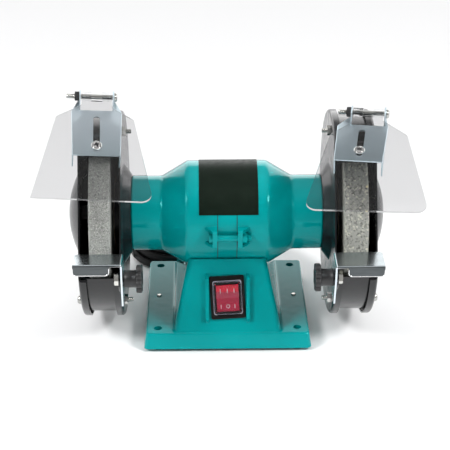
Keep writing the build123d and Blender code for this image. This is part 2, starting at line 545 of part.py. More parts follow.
def tool_rest():
    table = block(REST_X0, REST_X1, -102.7, -79.6, AXIS_H + 2.8, AXIS_H + 4.4)
    table = fillet([e for e in table.edges().filter_by(Axis.Z) if e.center().X > REST_X1 - 1 and e.center().Y > -85], 2.0)
    lip = block(90.0, REST_X1, -102.7, -101.1, AXIS_H - 4.1, AXIS_H + 4.4)
    lip = fillet([e for e in lip.edges().filter_by(Axis.Y) if e.center().Z < AXIS_H], 3.0)
    leg = prism_x([(79.6, 4.4), (101.0, 4.4), (101.0, -6), (97, -20), (93, -33), (79, -33), (75, -24), (75, -4), (79.6, 1.5)], REST_X0, REST_X0 + REST_T)
    r = table + lip + leg
    r = fillet([e for e in r.edges().filter_by(Axis.X) if abs(e.center().Y + 102.7) < 1e-3 and abs(e.center().Z - AXIS_H - 4.4) < 1e-3], 1.4)
    r = fillet([e for e in r.edges().filter_by(Axis.Y) if abs(e.center().X - REST_X0) < 1e-3 and abs(e.center().Z - AXIS_H - 4.4) < 1e-3], 1.4)
    pl = Plane(origin=(70, -85.6, AXIS_H + REST_H), x_dir=(0, 1, 0), z_dir=(1, 0, 0))
    return r - extrude(pl * SlotCenterToCenter(12.6, 6.4), amount=20)


rest = tool_rest()
save("tool_rest_right", rest)
tilt_ax = Axis((0, -REST_F, AXIS_H + REST_H), (1, 0, 0))
save("tool_rest_left", flip(rest).rotate(tilt_ax, -REST_TILT_L))

tbolt = hex_x(REST_F, REST_H, 8.8, GX0 + SHEET, GX0 + SHEET + 3.6) + cyl_x(REST_F, REST_H, BOLT_R, 71.8, GX0 + SHEET + 1)
save("tool_rest_bolts", tbolt, flip(tbolt))

kp = Plane(origin=(65.5, -REST_F, AXIS_H + REST_H), x_dir=(0, 1, 0), z_dir=(1, 0, 0))
star = Circle(11.1)
for k in range(8):
    star = star - Pos(12.6 * math.cos(rad(45 * k + 22.5)), 12.6 * math.sin(rad(45 * k + 22.5))) * Circle(2.9)
knob = extrude(kp * star, amount=4.8)
knob = fillet([e for e in knob.edges() if abs(e.center().X - 65.5) < 1e-3], 0.8)
knob = knob + cyl_x(REST_F, REST_H, 6.85, 70.0, 79.9)
knob = knob - cyl_x(REST_F, REST_H, 3.0, 71.5, 90)
save("knob_right", knob)
save("knob_left", flip(knob))

# ------------------------------------------------------------------ mains lead
GY1 = 90.0
gland = extrude(Plane(origin=(GLAND[0], 52.0, GLAND[1]), z_dir=(0, 1, 0)) * Circle(8.2), amount=7.6)
gland = gland + loft([Plane(origin=(GLAND[0], 59.0, GLAND[1]), z_dir=(0, 1, 0)) * Circle(6.2), Plane(origin=(GLAND[0], GY1, GLAND[1]), z_dir=(0, 1, 0)) * Circle(4.4)])
gland = gland - ped
gland = gland + cyl((GLAND[0], 44.0, GLAND[1]), (0, 1, 0), 5.9, 16) + cyl((GLAND[0], 44.0, GLAND[1]), (0, 1, 0), 8.0, 2.4)
save("cord_strain_relief", gland)


def tube(points, label):
    v = [Vector(*p) for p in points]
    radii = []
    for a, b, c in zip(v, v[1:], v[2:]):
        turn = (b - a).get_angle(c - b)
        radii.append(0.45 * min((b - a).length, (c - b).length) / math.tan(rad(turn) / 2))
    print(label, "bend radii", [round(r, 1) for r in radii])
    path = FilletPolyline(*points, radius=radii)
    pl = Plane(origin=points[0], z_dir=v[1] - v[0])
    t = sweep(pl * Circle(CORD_R), path=path)
    print(label, "length", round(path.length, 1), "volume ratio", round(t.volume / (math.pi * CORD_R ** 2 * path.length), 4))
    return t


LEAD = [(8.0, 90.0, 27.0), (7.8, 103.0, 25.6), (6.4, 115.9, 20.8), (2.8, 128.4, 14.0), (-3.7, 139.7, 8.0), (-13.2, 148.5, 4.4), (-25.0, 153.6, 3.31)]
TAIL = [(-46.0, 147.6, 14.7), (-59.5, 149.6, 14.5), (-74.0, 151.0, 12.9)]
save("mains_cord", tube(LEAD, "lead"), tube(TAIL, "tail"))

coil_prof = [(24.6, 0.0), (45.0, 0.0), (45.0, 6.8), (41.6, 12.6), (38.3, 18.2), (31.2, 18.2), (27.9, 12.6), (24.6, 6.8)]
cf = make_face(Polyline(*[(r, 0, z) for r, z in coil_prof], close=True))
save("mains_cord_coil", Pos(COIL_C[0], COIL_C[1], 0) * revolve(cf, Axis.Z))

# plug lies on the bench behind the coil, pins to the left
PLUG_Y = 151.0
plug_pl = Plane(origin=(-74.0, PLUG_Y, 12.9), z_dir=(-1.0, 0.0, 0.03))
pr = [(0, 0), (4.6, 0), (5.2, 1.5), (6.2, 14), (10.0, 20), (13.4, 25), (13.4, 38), (0, 38)]
pf = make_face(Polyline(*[(r, 0, z) for r, z in pr], close=True))
plug = plug_pl.location * revolve(pf, Axis.Z)
pins = [plug_pl.location * Pos(9.5 * 0, s * 9.5, 38) * Cylinder(2.4, 19, align=(Align.CENTER, Align.CENTER, Align.MIN)) for s in (-1, 1)]
pins = [fillet(p.edges().filter_by(GeomType.CIRCLE).sort_by(Axis.X)[:1], 1.4) for p in pins]
save("mains_plug", plug)
save("plug_pins", *pins)
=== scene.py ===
import bpy
import json
import math
import numpy as np
from mathutils import Matrix, Vector

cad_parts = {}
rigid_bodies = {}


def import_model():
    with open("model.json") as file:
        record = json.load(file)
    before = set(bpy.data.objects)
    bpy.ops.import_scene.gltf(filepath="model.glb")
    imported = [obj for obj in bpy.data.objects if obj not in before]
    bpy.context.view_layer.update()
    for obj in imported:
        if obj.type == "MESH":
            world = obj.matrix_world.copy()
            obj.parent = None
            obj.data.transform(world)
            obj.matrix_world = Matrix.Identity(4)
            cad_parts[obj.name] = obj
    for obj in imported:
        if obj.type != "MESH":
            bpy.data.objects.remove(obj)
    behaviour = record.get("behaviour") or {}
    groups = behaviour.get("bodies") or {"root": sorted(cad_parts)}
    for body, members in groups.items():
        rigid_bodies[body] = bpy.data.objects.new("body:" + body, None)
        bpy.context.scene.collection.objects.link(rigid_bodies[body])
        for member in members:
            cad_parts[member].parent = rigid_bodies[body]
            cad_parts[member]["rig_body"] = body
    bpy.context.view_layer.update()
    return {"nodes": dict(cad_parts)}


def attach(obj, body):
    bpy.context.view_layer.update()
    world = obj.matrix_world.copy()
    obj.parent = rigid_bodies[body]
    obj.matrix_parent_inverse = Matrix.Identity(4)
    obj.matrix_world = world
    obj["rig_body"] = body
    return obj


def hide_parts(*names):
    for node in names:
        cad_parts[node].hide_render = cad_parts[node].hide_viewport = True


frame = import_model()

S = 0.001                      # the shapes below are in millimetres
NODES = frame["nodes"]
scene = bpy.context.scene
scene.view_settings.view_transform = "Standard"
scene.view_settings.look = "None"
AXIS_H = 94.0


def rad(a):
    return math.radians(a)


# ------------------------------------------------------------------ camera
cam_data = bpy.data.cameras.new("camera")
cam_data.lens = 111.42
cam_data.sensor_width = 36.0
cam_data.sensor_fit = "HORIZONTAL"
cam_data.clip_start, cam_data.clip_end = 0.05, 60.0
cam = bpy.data.objects.new("camera", cam_data)
scene.collection.objects.link(cam)
cam.location = (-0.01909, -1.01574, 0.59982)
cam.rotation_euler = Vector((0.015704, 0.8908, -0.45408)).to_track_quat("-Z", "Y").to_euler()
scene.camera = cam


# ------------------------------------------------------------------ material helpers
class Nodes:
    """A Principled material with short calls for its textures."""

    def __init__(self, name):
        self.mat = bpy.data.materials.new(name)
        self.mat.use_nodes = True
        self.nt = self.mat.node_tree
        self.nt.nodes.clear()
        self.out = self.nt.nodes.new("ShaderNodeOutputMaterial")
        self.p = self.nt.nodes.new("ShaderNodeBsdfPrincipled")
        self.link(self.p.outputs["BSDF"], self.out.inputs["Surface"])
        self.coord = self.nt.nodes.new("ShaderNodeTexCoord").outputs["Object"]

    def link(self, a, b):
        self.nt.links.new(a, b)

    def set(self, **kw):
        for k, v in kw.items():
            sock = self.p.inputs[k.replace("_", " ")]
            if hasattr(v, "is_output"):
                self.link(v, sock)
            else:
                sock.default_value = v
        return self

    def stretch(self, x, y, z):
        n = self.nt.nodes.new("ShaderNodeMapping")
        n.inputs["Scale"].default_value = (x, y, z)
        self.link(self.coord, n.inputs["Vector"])
        return n.outputs["Vector"]

    def noise(self, scale, detail=2.0, rough=0.5, distort=0.0, vec=None):
        n = self.nt.nodes.new("ShaderNodeTexNoise")
        n.inputs["Scale"].default_value = scale
        n.inputs["Detail"].default_value = detail
        n.inputs["Roughness"].default_value = rough
        n.inputs["Distortion"].default_value = distort
        self.link(vec or self.coord, n.inputs["Vector"])
        return n.outputs["Fac"]

    def cells(self, scale, what="Distance", randomness=1.0, feature="F1"):
        n = self.nt.nodes.new("ShaderNodeTexVoronoi")
        n.feature = feature
        n.inputs["Scale"].default_value = scale
        n.inputs["Randomness"].default_value = randomness
        self.link(self.coord, n.inputs["Vector"])
        return n.outputs[what]

    def ramp(self, fac, stops, interp="LINEAR"):
        n = self.nt.nodes.new("ShaderNodeValToRGB")
        n.color_ramp.interpolation = interp
        el = n.color_ramp.elements
        while len(el) < len(stops):
            el.new(0.5)
        for e, (pos, col) in zip(el, stops):
            e.position = pos
            e.color = (*col, 1.0) if len(col) == 3 else col
        self.link(fac, n.inputs["Fac"])
        return n.outputs["Color"]

    def span(self, fac, lo, hi, a=0.0, b=1.0):
        n = self.nt.nodes.new("ShaderNodeMapRange")
        for name, v in (("From Min", a), ("From Max", b), ("To Min", lo), ("To Max", hi)):
            n.inputs[name].default_value = v
        self.link(fac, n.inputs["Value"])
        return n.outputs["Result"]

    def mix(self, fac, a, b, blend="MIX"):
        n = self.nt.nodes.new("ShaderNodeMix")
        n.data_type = "RGBA"
        n.blend_type = blend
        for sock, v in ((n.inputs[0], fac), (n.inputs[6], a), (n.inputs[7], b)):
            if hasattr(v, "is_output"):
                self.link(v, sock)
            elif isinstance(v, (int, float)):
                sock.default_value = v
            else:
                sock.default_value = (*v, 1.0)
        return n.outputs[2]

    def math(self, op, a, b):
        n = self.nt.nodes.new("ShaderNodeMath")
        n.operation = op
        for sock, v in ((n.inputs[0], a), (n.inputs[1], b)):
            if hasattr(v, "is_output"):
                self.link(v, sock)
            else:
                sock.default_value = v
        return n.outputs[0]

    def bump(self, height, strength, distance, normal=None):
        n = self.nt.nodes.new("ShaderNodeBump")
        n.inputs["Strength"].default_value = strength
        n.inputs["Distance"].default_value = distance
        self.link(height, n.inputs["Height"])
        if normal is not None:
            self.link(normal, n.inputs["Normal"])
        return n.outputs["Normal"]


def paint(name, lo, hi, rough, peel=0.05, tint=(1.0, 1.0, 1.0)):
    m = Nodes(name)
    soft = m.noise(38, 2)
    m.set(Base_Color=m.ramp(soft, [(0.34, lo), (0.66, hi)]), Specular_Tint=(*tint, 1.0),
          Roughness=m.span(m.noise(120, 3), rough * 0.75, rough * 1.3, 0.3, 0.7))
    fine = m.bump(m.noise(620, 1), peel, 0.0005)
    m.set(Normal=m.bump(m.noise(130, 1), peel * 0.8, 0.0012, fine))
    return m


TEAL_TINT = (0.20, 0.75, 0.75)
teal = paint("teal_enamel", (0.0, 0.266, 0.272), (0.0, 0.286, 0.292), 0.10, 0.03, TEAL_TINT).mat
# painted shade: the pad tops darken towards the back, standing in for the shadow of the motor and guards above them;
# their front ends keep the plain teal
m = paint("teal_enamel_base_painted_pad_shade", (0.0, 0.266, 0.272), (0.0, 0.286, 0.292), 0.10, 0.03, TEAL_TINT)
xyz = m.nt.nodes.new("ShaderNodeSeparateXYZ")
m.link(m.coord, xyz.inputs["Vector"])
pad_shade_mask = m.math("MULTIPLY", m.span(xyz.outputs["Z"], 0.0, 1.0, 0.0152, 0.0159), m.span(xyz.outputs["Z"], 1.0, 0.0, 0.0163, 0.0175))
pad_shade_mask = m.math("MULTIPLY", pad_shade_mask, m.span(xyz.outputs["Y"], 0.0, 1.0, -0.055, -0.018))
m.set(Base_Color=m.mix(pad_shade_mask, m.ramp(m.noise(38, 2), [(0.34, (0.0, 0.266, 0.272)), (0.66, (0.0, 0.286, 0.292))]), (0.0, 0.125, 0.130)))
teal_base = m.mat
teal_hw = paint("teal_enamel_fasteners", (0.0, 0.270, 0.276), (0.0, 0.300, 0.306), 0.18, 0.06, TEAL_TINT).mat


def sheet_black(name, dusty):
    m = paint(name, (0.006, 0.0065, 0.0075), (0.010, 0.0105, 0.012), 0.2, 0.06)
    if dusty:
        speck = m.cells(470, "Distance")
        pick = m.cells(470, "Color")
        one = m.math("GREATER_THAN", pick, 0.68)
        spot = m.math("LESS_THAN", speck, 0.24)
        haze = m.span(m.noise(55, 4), 0.0, 0.013, 0.5, 0.8)
        xyz = m.nt.nodes.new("ShaderNodeSeparateXYZ")
        m.link(m.coord, xyz.inputs["Vector"])
        high = m.span(xyz.outputs["Z"], 0.0, 1.0, 0.098, 0.108)
        dust_and_light = m.math("MAXIMUM", m.math("MULTIPLY", high, m.math("MULTIPLY", one, spot)), haze)
        # partly painted light: the dust specks are painted near-white, brighter than the dust, so that they show in the
        # shade inside the guards
        m.set(Base_Color=m.mix(dust_and_light, (0.008, 0.0085, 0.0095), (0.86, 0.86, 0.84)))
        m.set(Roughness=m.span(dust_and_light, 0.17, 0.7))
    return m.mat


black_sheet = sheet_black("black_enamel", False)
black_dust_and_light = sheet_black("black_enamel_dust_and_light", True)


def plated(name, lo, mid, hi, rough, grain=(1, 1, 1), streaks=0.05, painted_reflection_fade=None):
    """Zinc plate: a satin metal with soft clouds, faint streaks and a bluish tint; given a last argument (z0, z1,
    tone), it also blends to that tone low down, fully below z0 and fading out by z1, as a painted reflection.
    """
    m = Nodes(name)
    cloud = m.noise(17, 2, 0.5)
    streak = m.noise(420, 2, 0.6, vec=m.stretch(*grain))
    col = m.ramp(cloud, [(0.32, lo), (0.5, mid), (0.68, hi)])
    col = m.mix(m.span(streak, 0.0, streaks, 0.35, 0.75), col, (0.60, 0.62, 0.64))
    # painted reflection: the colour blends to a darker tone towards the bottom
    if painted_reflection_fade:
        z0, z1, tone = painted_reflection_fade
        xyz = m.nt.nodes.new("ShaderNodeSeparateXYZ")
        m.link(m.coord, xyz.inputs["Vector"])
        col = m.mix(m.span(xyz.outputs["Z"], 1.0, 0.0, z0, z1), col, tone)
    m.set(Base_Color=col, Metallic=1.0,
          Roughness=m.span(streak, rough * 0.92, rough * 1.1, 0.3, 0.7))
    m.set(Normal=m.bump(m.noise(900, 2), 0.012, 0.0003))
    return m.mat


zinc = plated("zinc_plate", (0.66, 0.735, 0.82), (0.69, 0.76, 0.83), (0.72, 0.785, 0.84), 0.36, (0.12, 1, 1), 0.03)
# deflector plates: a brighter copy of the zinc (painted light), darkening to a blue-grey towards the bottom (painted
# reflection)
zinc_leaf = plated("zinc_plate_deflector_painted_reflection", (0.73, 0.85, 0.92), (0.76, 0.87, 0.935), (0.79, 0.89, 0.95), 0.36, (0.12, 1, 1), 0.03, (0.157, 0.180, (0.42, 0.53, 0.57)))
# rest table: a darker copy of the zinc, painted reflection
zinc_table = plated("zinc_plate_table_painted_reflection", (0.40, 0.45, 0.47), (0.45, 0.50, 0.52), (0.50, 0.55, 0.57), 0.24, (0.12, 1, 1), 0.03)
# turned-down lip of the rest: a near-black copy of the zinc, painted reflection
zinc_lip = plated("zinc_plate_turned_down_painted_reflection", (0.060, 0.069, 0.073), (0.072, 0.082, 0.086), (0.088, 0.098, 0.102), 0.30, (0.12, 1, 1))
zinc_edge = plated("sheared_edge", (0.74, 0.76, 0.77), (0.80, 0.81, 0.82), (0.84, 0.84, 0.84), 0.26)
bright = plated("bright_fastener", (0.56, 0.56, 0.53), (0.63, 0.62, 0.58), (0.68, 0.67, 0.63), 0.20)
screw_bright = plated("bright_screw", (0.84, 0.84, 0.81), (0.89, 0.885, 0.86), (0.93, 0.92, 0.90), 0.10)
nut_zinc = plated("zinc_nuts", (0.36, 0.365, 0.35), (0.44, 0.44, 0.42), (0.52, 0.52, 0.50), 0.18)
# dark steel for flanges, nuts and mount screws; also the painted shade down in the screw recesses
dark_steel_and_recess_shade = plated("dark_steel_and_recess_shade", (0.035, 0.035, 0.035), (0.05, 0.05, 0.05), (0.07, 0.07, 0.07), 0.45)

m = Nodes("black_oxide")
m.set(Base_Color=m.ramp(m.noise(300, 3), [(0.3, (0.010, 0.010, 0.011)), (0.7, (0.030, 0.030, 0.032))]),
      Metallic=0.35, Roughness=m.span(m.noise(500, 2), 0.30, 0.5, 0.3, 0.7))
m.set(Normal=m.bump(m.noise(1400, 2), 0.12, 0.0003))
black_oxide = m.mat


def moulded(name, lo, hi, rough, grain=0.08):
    m = Nodes(name)
    m.set(Base_Color=m.ramp(m.noise(90, 3), [(0.3, lo), (0.7, hi)]),
          Roughness=m.span(m.noise(260, 3), rough * 0.85, rough * 1.2, 0.3, 0.7))
    m.set(Normal=m.bump(m.noise(1900, 1), grain, 0.0003))
    return m


black_plastic = moulded("satin_black_plastic", (0.010, 0.010, 0.011), (0.018, 0.018, 0.019), 0.42).mat
m = moulded("bare_plate", (0.0036, 0.0085, 0.0050), (0.0052, 0.0110, 0.0068), 0.40, 0.03)
m.set(Specular_IOR_Level=0.09)
plate_black = m.mat
m = moulded("switch_frame_plastic", (0.0045, 0.0036, 0.0032), (0.0075, 0.0062, 0.0056), 0.40, 0.05)
m.set(Specular_IOR_Level=0.18)
frame_black = m.mat
rubber = moulded("matt_rubber", (0.010, 0.010, 0.010), (0.022, 0.022, 0.022), 0.62, 0.16).mat
m = moulded("black_pvc", (0.005, 0.005, 0.006), (0.009, 0.009, 0.010), 0.50, 0.07)
m.set(Specular_IOR_Level=0.22)
lead_pvc = m.mat
tie_white = moulded("cable_tie_black", (0.012, 0.012, 0.013), (0.024, 0.024, 0.026), 0.40, 0.06).mat

m = moulded("red_lens_plastic", (0.52, 0.006, 0.035), (0.62, 0.012, 0.05), 0.22, 0.05)
xyz = m.nt.nodes.new("ShaderNodeSeparateXYZ")
m.link(m.coord, xyz.inputs["Vector"])
cast = m.ramp(m.noise(90, 3), [(0.3, (0.50, 0.016, 0.050)), (0.7, (0.58, 0.026, 0.066))])
# painted light: the rocker blends to a brighter red at its upper end, standing in for light on its upper facet
m.set(Base_Color=m.mix(m.span(xyz.outputs["Z"], 0.0, 1.0, 0.0468, 0.0482), cast, (0.86, 0.004, 0.030)))
m.set(Subsurface_Weight=0.25, Subsurface_Scale=0.002, Subsurface_Radius=(1.0, 0.25, 0.2))
red = m.mat
mark = moulded("pale_marks", (0.78, 0.62, 0.60), (0.88, 0.74, 0.72), 0.45, 0.05).mat

m = Nodes("clear_polycarbonate")
m.set(Base_Color=(0.695, 0.695, 0.70, 1.0), Transmission_Weight=1.0, IOR=1.22, Roughness=0.012)
m.set(Normal=m.bump(m.noise(28, 1), 0.02, 0.0006))
clear = m.mat
m = Nodes("cut_edge")
m.set(Base_Color=m.ramp(m.noise(300, 2), [(0.3, (0.25, 0.255, 0.26)), (0.7, (0.33, 0.335, 0.34))]), Alpha=0.36, Roughness=0.3)
m.set(Normal=m.bump(m.noise(400, 1), 0.05, 0.0003))
clear_edge = m.mat
m = Nodes("clear_barrel")
m.set(Base_Color=(0.93, 0.935, 0.94, 1.0), Transmission_Weight=1.0, IOR=1.05, Roughness=0.05)
m.set(Normal=m.bump(m.noise(200, 1), 0.03, 0.0003))
clear_barrel = m.mat
m = Nodes("clear_pvc_boot")
m.set(Base_Color=(0.90, 0.88, 0.95, 1.0), Transmission_Weight=1.0, IOR=1.30, Roughness=0.10)
m.set(Normal=m.bump(m.noise(160, 2), 0.10, 0.0006))
boot_clear = m.mat
m = Nodes("pvc_rolled_rim")
m.set(Base_Color=m.ramp(m.noise(400, 2), [(0.3, (0.44, 0.41, 0.48)), (0.7, (0.56, 0.53, 0.60))]), Transmission_Weight=0.35, IOR=1.30, Roughness=0.25)
m.set(Normal=m.bump(m.noise(500, 2), 0.08, 0.0003))
boot_rim = m.mat


def abrasive(name, scale, dark, mid, pale, glint, share):
    """Bonded grain: pale and dark grains in a grey bond, with a few coloured specks."""
    m = Nodes(name)
    tone = m.cells(scale, "Color")
    tone2 = m.noise(scale * 0.5, 3, 0.65)
    col = m.ramp(tone, [(0.12, dark), (0.42, mid), (0.70, mid), (0.94, pale)])
    col = m.mix(m.span(tone2, 0.0, 0.55, 0.42, 0.70), col, tuple(x * 1.10 for x in mid))
    pick = m.cells(scale * 0.42, "Color")
    near = m.cells(scale * 0.42, "Distance")
    rare = m.math("MULTIPLY", m.math("GREATER_THAN", pick, 1.0 - share), m.math("LESS_THAN", near, 0.34))
    col = m.mix(rare, col, glint)
    m.set(Base_Color=col, Roughness=m.span(tone, 0.55, 0.9), Specular_IOR_Level=0.3)
    grains = m.bump(m.cells(scale, "Distance"), 0.55, 0.0005)
    m.set(Normal=m.bump(m.noise(scale * 0.8, 4, 0.65), 0.5, 0.0004, grains))
    return m.mat


grit_fine = abrasive("abrasive_fine", 1300, (0.13, 0.136, 0.126), (0.31, 0.318, 0.298), (0.52, 0.525, 0.49), (0.60, 0.38, 0.14), 0.035)
grit_coarse = abrasive("abrasive_coarse", 760, (0.08, 0.084, 0.074), (0.29, 0.295, 0.268), (0.64, 0.62, 0.50), (0.74, 0.66, 0.40), 0.09)

m = Nodes("blotter_paper")
m.set(Base_Color=m.ramp(m.noise(700, 4), [(0.3, (0.50, 0.46, 0.38)), (0.7, (0.64, 0.60, 0.50))]), Roughness=0.9)
m.set(Normal=m.bump(m.noise(1600, 3), 0.3, 0.0003))
paper = m.mat


def metal(name, lo, hi, rough, grain=(1, 1, 1)):
    m = Nodes(name)
    f = m.noise(500, 3, vec=m.stretch(*grain))
    m.set(Base_Color=m.ramp(f, [(0.3, lo), (0.7, hi)]), Metallic=1.0, Roughness=m.span(f, rough * 0.8, rough * 1.25, 0.3, 0.7))
    m.set(Normal=m.bump(f, 0.06, 0.0002))
    return m.mat


ground = metal("ground_steel", (0.50, 0.50, 0.50), (0.62, 0.62, 0.62), 0.25, (3, 1, 1))
lamination = metal("lamination_steel", (0.16, 0.165, 0.17), (0.26, 0.265, 0.27), 0.5, (6, 0.2, 0.2))
copper = metal("enamelled_copper", (0.42, 0.17, 0.07), (0.58, 0.26, 0.11), 0.35, (0.2, 3, 3))
cast_alu = metal("die_cast_aluminium", (0.60, 0.60, 0.61), (0.74, 0.74, 0.75), 0.4)
brass = metal("nickelled_brass", (0.60, 0.52, 0.34), (0.74, 0.66, 0.46), 0.28)

m = Nodes("seam_shadow")
m.set(Base_Color=m.ramp(m.noise(400, 2), [(0.3, (0.0, 0.018, 0.019)), (0.7, (0.0, 0.035, 0.036))]), Roughness=0.6)
m.set(Normal=m.bump(m.noise(900, 2), 0.1, 0.0002))
seam_dark = m.mat


# ------------------------------------------------------------------ geometry helpers
def build(name, verts, faces, mat, body, repl=(), sharp=38.0, M=None, index=None):
    me = bpy.data.meshes.new(name)
    v = np.asarray(verts, float)
    if M is not None:
        r = np.array(M.to_3x3())
        v = v @ r.T + np.array(M.translation)
        if np.linalg.det(r) < 0:
            faces = [f[::-1] for f in faces]
    me.from_pydata((v * S).tolist(), [], [list(f) for f in faces])
    for mt in (mat if isinstance(mat, (list, tuple)) else [mat]):
        me.materials.append(mt)
    if index is not None:
        me.polygons.foreach_set("material_index", index)
    me.shade_smooth()
    me.set_sharp_from_angle(angle=rad(sharp))
    me.update()
    ob = bpy.data.objects.new(name, me)
    scene.collection.objects.link(ob)
    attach(ob, body)
    if repl:
        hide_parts(*repl)
    return ob


class Mesh:
    """Gathers closed shells into one mesh."""

    def __init__(self):
        self.v, self.f = [], []

    def add(self, verts, faces, M=None):
        n = len(self.v)
        if M is not None:
            flip = M.to_3x3().determinant() < 0
            verts = [tuple(M @ Vector(p)) for p in verts]
            if flip:
                faces = [tuple(reversed(f)) for f in faces]
        self.v += [tuple(p) for p in verts]
        self.f += [tuple(i + n for i in f) for f in faces]
        return self


def rings(loops, close_a=True, close_b=True, loop=False):
    """Skins rings of points into a shell, with a fan or a bridge at the ends."""
    n = len(loops[0])
    v = [p for lp in loops for p in lp]
    f = []
    for i in range(len(loops) - (0 if loop else 1)):
        a, b = i * n, ((i + 1) % len(loops)) * n
        for k in range(n):
            q = (k + 1) % n
            f.append((a + k, a + q, b + q, b + k))
    if not loop:
        if close_a:
            c = len(v)
            v.append(tuple(np.mean(np.array(loops[0], float), axis=0)))
            f += [(c, (k + 1) % n, k) for k in range(n)]
        if close_b:
            c = len(v)
            v.append(tuple(np.mean(np.array(loops[-1], float), axis=0)))
            o = (len(loops) - 1) * n
            f += [(c, o + k, o + (k + 1) % n) for k in range(n)]
    return v, f


def circle(r, z, n=48, fn=None):
    out = []
    for k in range(n):
        t = 2 * math.pi * k / n
        q = r if fn is None else r * fn(t)
        out.append((q * math.cos(t), q * math.sin(t), z))
    return out


def turned(profile, n=48):
    """A solid turned about local z from (r, z) points, ends closed."""
    return rings([circle(max(r, 1e-4), z, n) for r, z in profile])


def smooth01(x):
    x = min(1.0, max(0.0, x))
    return x * x * (3 - 2 * x)


def pan_head(r, h, dome, cross=True, n=96, nr=20, turn=0.0):
    """A pan head on z = 0 with a cross recess."""
    loops = [circle(r * 0.96, 0.0, n), circle(r, 0.12 * h, n)]
    crown = []
    ca, sa = math.cos(turn), math.sin(turn)
    for i in range(nr, 0, -1):
        rr = r * (i / nr) ** 0.9
        lp = []
        for k in range(n):
            t = 2 * math.pi * k / n
            x, y = rr * math.cos(t), rr * math.sin(t)
            e = max(0.0, (rr / r - 0.62) / 0.38)
            z = h - dome * (rr / r) ** 2 - (h * 0.5) * (1 - math.sqrt(max(0.0, 1 - e * e)))
            if cross:
                u, w = x * ca + y * sa, -x * sa + y * ca
                d = 0.0
                for a, b in ((abs(u), abs(w)), (abs(w), abs(u))):
                    wide = smooth01((0.15 * r - a) / (0.07 * r) + 0.5)
                    deep = min(1.0, max(0.0, (0.64 * r - b) / (0.5 * r)))
                    d = max(d, wide * deep)
                z -= 0.62 * h * d
            lp.append((x, y, z))
        crown.append(lp)
    return rings(loops + crown)


def hexagon(af, n=72):
    def fn(t):
        return 1.0 / math.cos(((t + math.pi / 6) % (math.pi / 3)) - math.pi / 6)
    return lambda t: af / 2 * fn(t)


def hex_nut(af, h, bore=None, n=72, both=True, turn=0.0):
    R = hexagon(af)
    rc = af / 2 * 0.975

    def ring(fr, z, hexed):
        out = []
        for k in range(n):
            t = 2 * math.pi * k / n
            q = R(t) if hexed else fr
            zz = z
            if hexed:
                drop = (q - rc) * 0.62
                zz = z - drop if z > h / 2 else z + (drop if both else 0.0)
            out.append((q * math.cos(t + turn), q * math.sin(t + turn), zz))
        return out
    outer = [ring(rc, 0, False), ring(0, 0, True), ring(0, h, True), ring(rc, h, False)]
    if bore is None:
        return rings(outer[:1] + outer[1:] + [ring(rc * 0.8, h - 0.06, False), ring(rc * 0.35, h - 0.10, False)])
    inner = [ring(bore + 0.45, h, False), ring(bore, h - 0.45, False), ring(bore, 0.45, False), ring(bore + 0.45, 0, False)]
    return rings(outer + inner, loop=True)


def thread(r, z0, z1, pitch, depth, n=28, per=8, lead=0.8):
    """A screw thread about local z, tapered at its far end z1."""
    count = max(4, int(round(abs(z1 - z0) / pitch * per)))
    loops = []
    for i in range(count + 1):
        z = z0 + (z1 - z0) * i / count
        near = min(1.0, (abs(z1 - z)) / lead)
        lp = []
        for k in range(n):
            t = 2 * math.pi * k / n
            ph = ((z - z0) / pitch - t / (2 * math.pi)) % 1.0
            tri = 1 - abs(2 * ph - 1)
            q = r - depth * (1 - tri) * min(1.0, near + 0.3) - depth * 1.1 * (1 - near)
            lp.append((q * math.cos(t), q * math.sin(t), z))
        loops.append(lp)
    v, f = rings(loops)
    if z1 < z0:
        f = [tuple(reversed(q)) for q in f]
    return v, f


def place(origin, axis, hint=(0, 0, 1)):
    """A matrix whose local z is axis, at origin."""
    z = Vector(axis).normalized()
    x = Vector(hint) - z * Vector(hint).dot(z)
    if x.length < 1e-6:
        x = Vector((0, 1, 0)) - z * z.y
    x.normalize()
    y = z.cross(x)
    m = Matrix((x, y, z)).transposed().to_4x4()
    m.translation = Vector(origin)
    return m


def axes(origin, x, y, z):
    m = Matrix((Vector(x), Vector(y), Vector(z))).transposed().to_4x4()
    m.translation = Vector(origin)
    return m


def body_of(node):
    return NODES[node]["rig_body"]


def dress(mat, *names):
    for n in names:
        o = NODES[n]
        if not o.material_slots:
            o.data.materials.append(mat)
        for s in o.material_slots:
            s.material = mat


# ------------------------------------------------------------------ mains lead
LEAD = [(8.0, 90.0, 27.0), (7.8, 103.0, 25.6), (6.4, 115.9, 20.8), (2.8, 128.4, 14.0), (-3.7, 139.7, 8.0), (-13.2, 148.5, 4.4), (-25.0, 153.6, 3.31)]
TAIL = [(-46.0, 147.6, 16.6), (-59.5, 149.6, 15.0), (-74.0, 151.0, 12.9)]
COIL = (-41.0, 113.0)
CORD_R = 3.3


def coil_points():
    """Turns of the tied coil: three on the bench, two on those, one on top."""
    out = []
    step = 360.0 / 16
    turns = [(3.31, [41.7, 34.9, 28.1]), (9.95, [31.2, 38.0]), (16.6, [34.7])]
    rows = [(z, r) for z, rr in turns for r in rr]
    a0 = 84.0
    total = len(rows)
    k = 1
    while True:
        ang = a0 + step * k
        turn = (ang - 90.0) / 360.0
        i = int(turn)
        if turn >= total - 0.03:
            break
        fr = turn - i
        z, r = rows[i]
        if i + 1 < total:
            # the last part of each turn runs over into the next place
            w = smooth01((fr - 0.74) / 0.26)
            z = z + (rows[i + 1][0] - z) * w
            r = r + (rows[i + 1][1] - r) * w
        wob = 0.10 * math.sin(1.7 * ang + 0.8 * i)
        q = (r + wob) / 0.9808
        out.append((COIL[0] + q * math.cos(rad(ang)), COIL[1] + q * math.sin(rad(ang)), z))
        k += 1
    return out


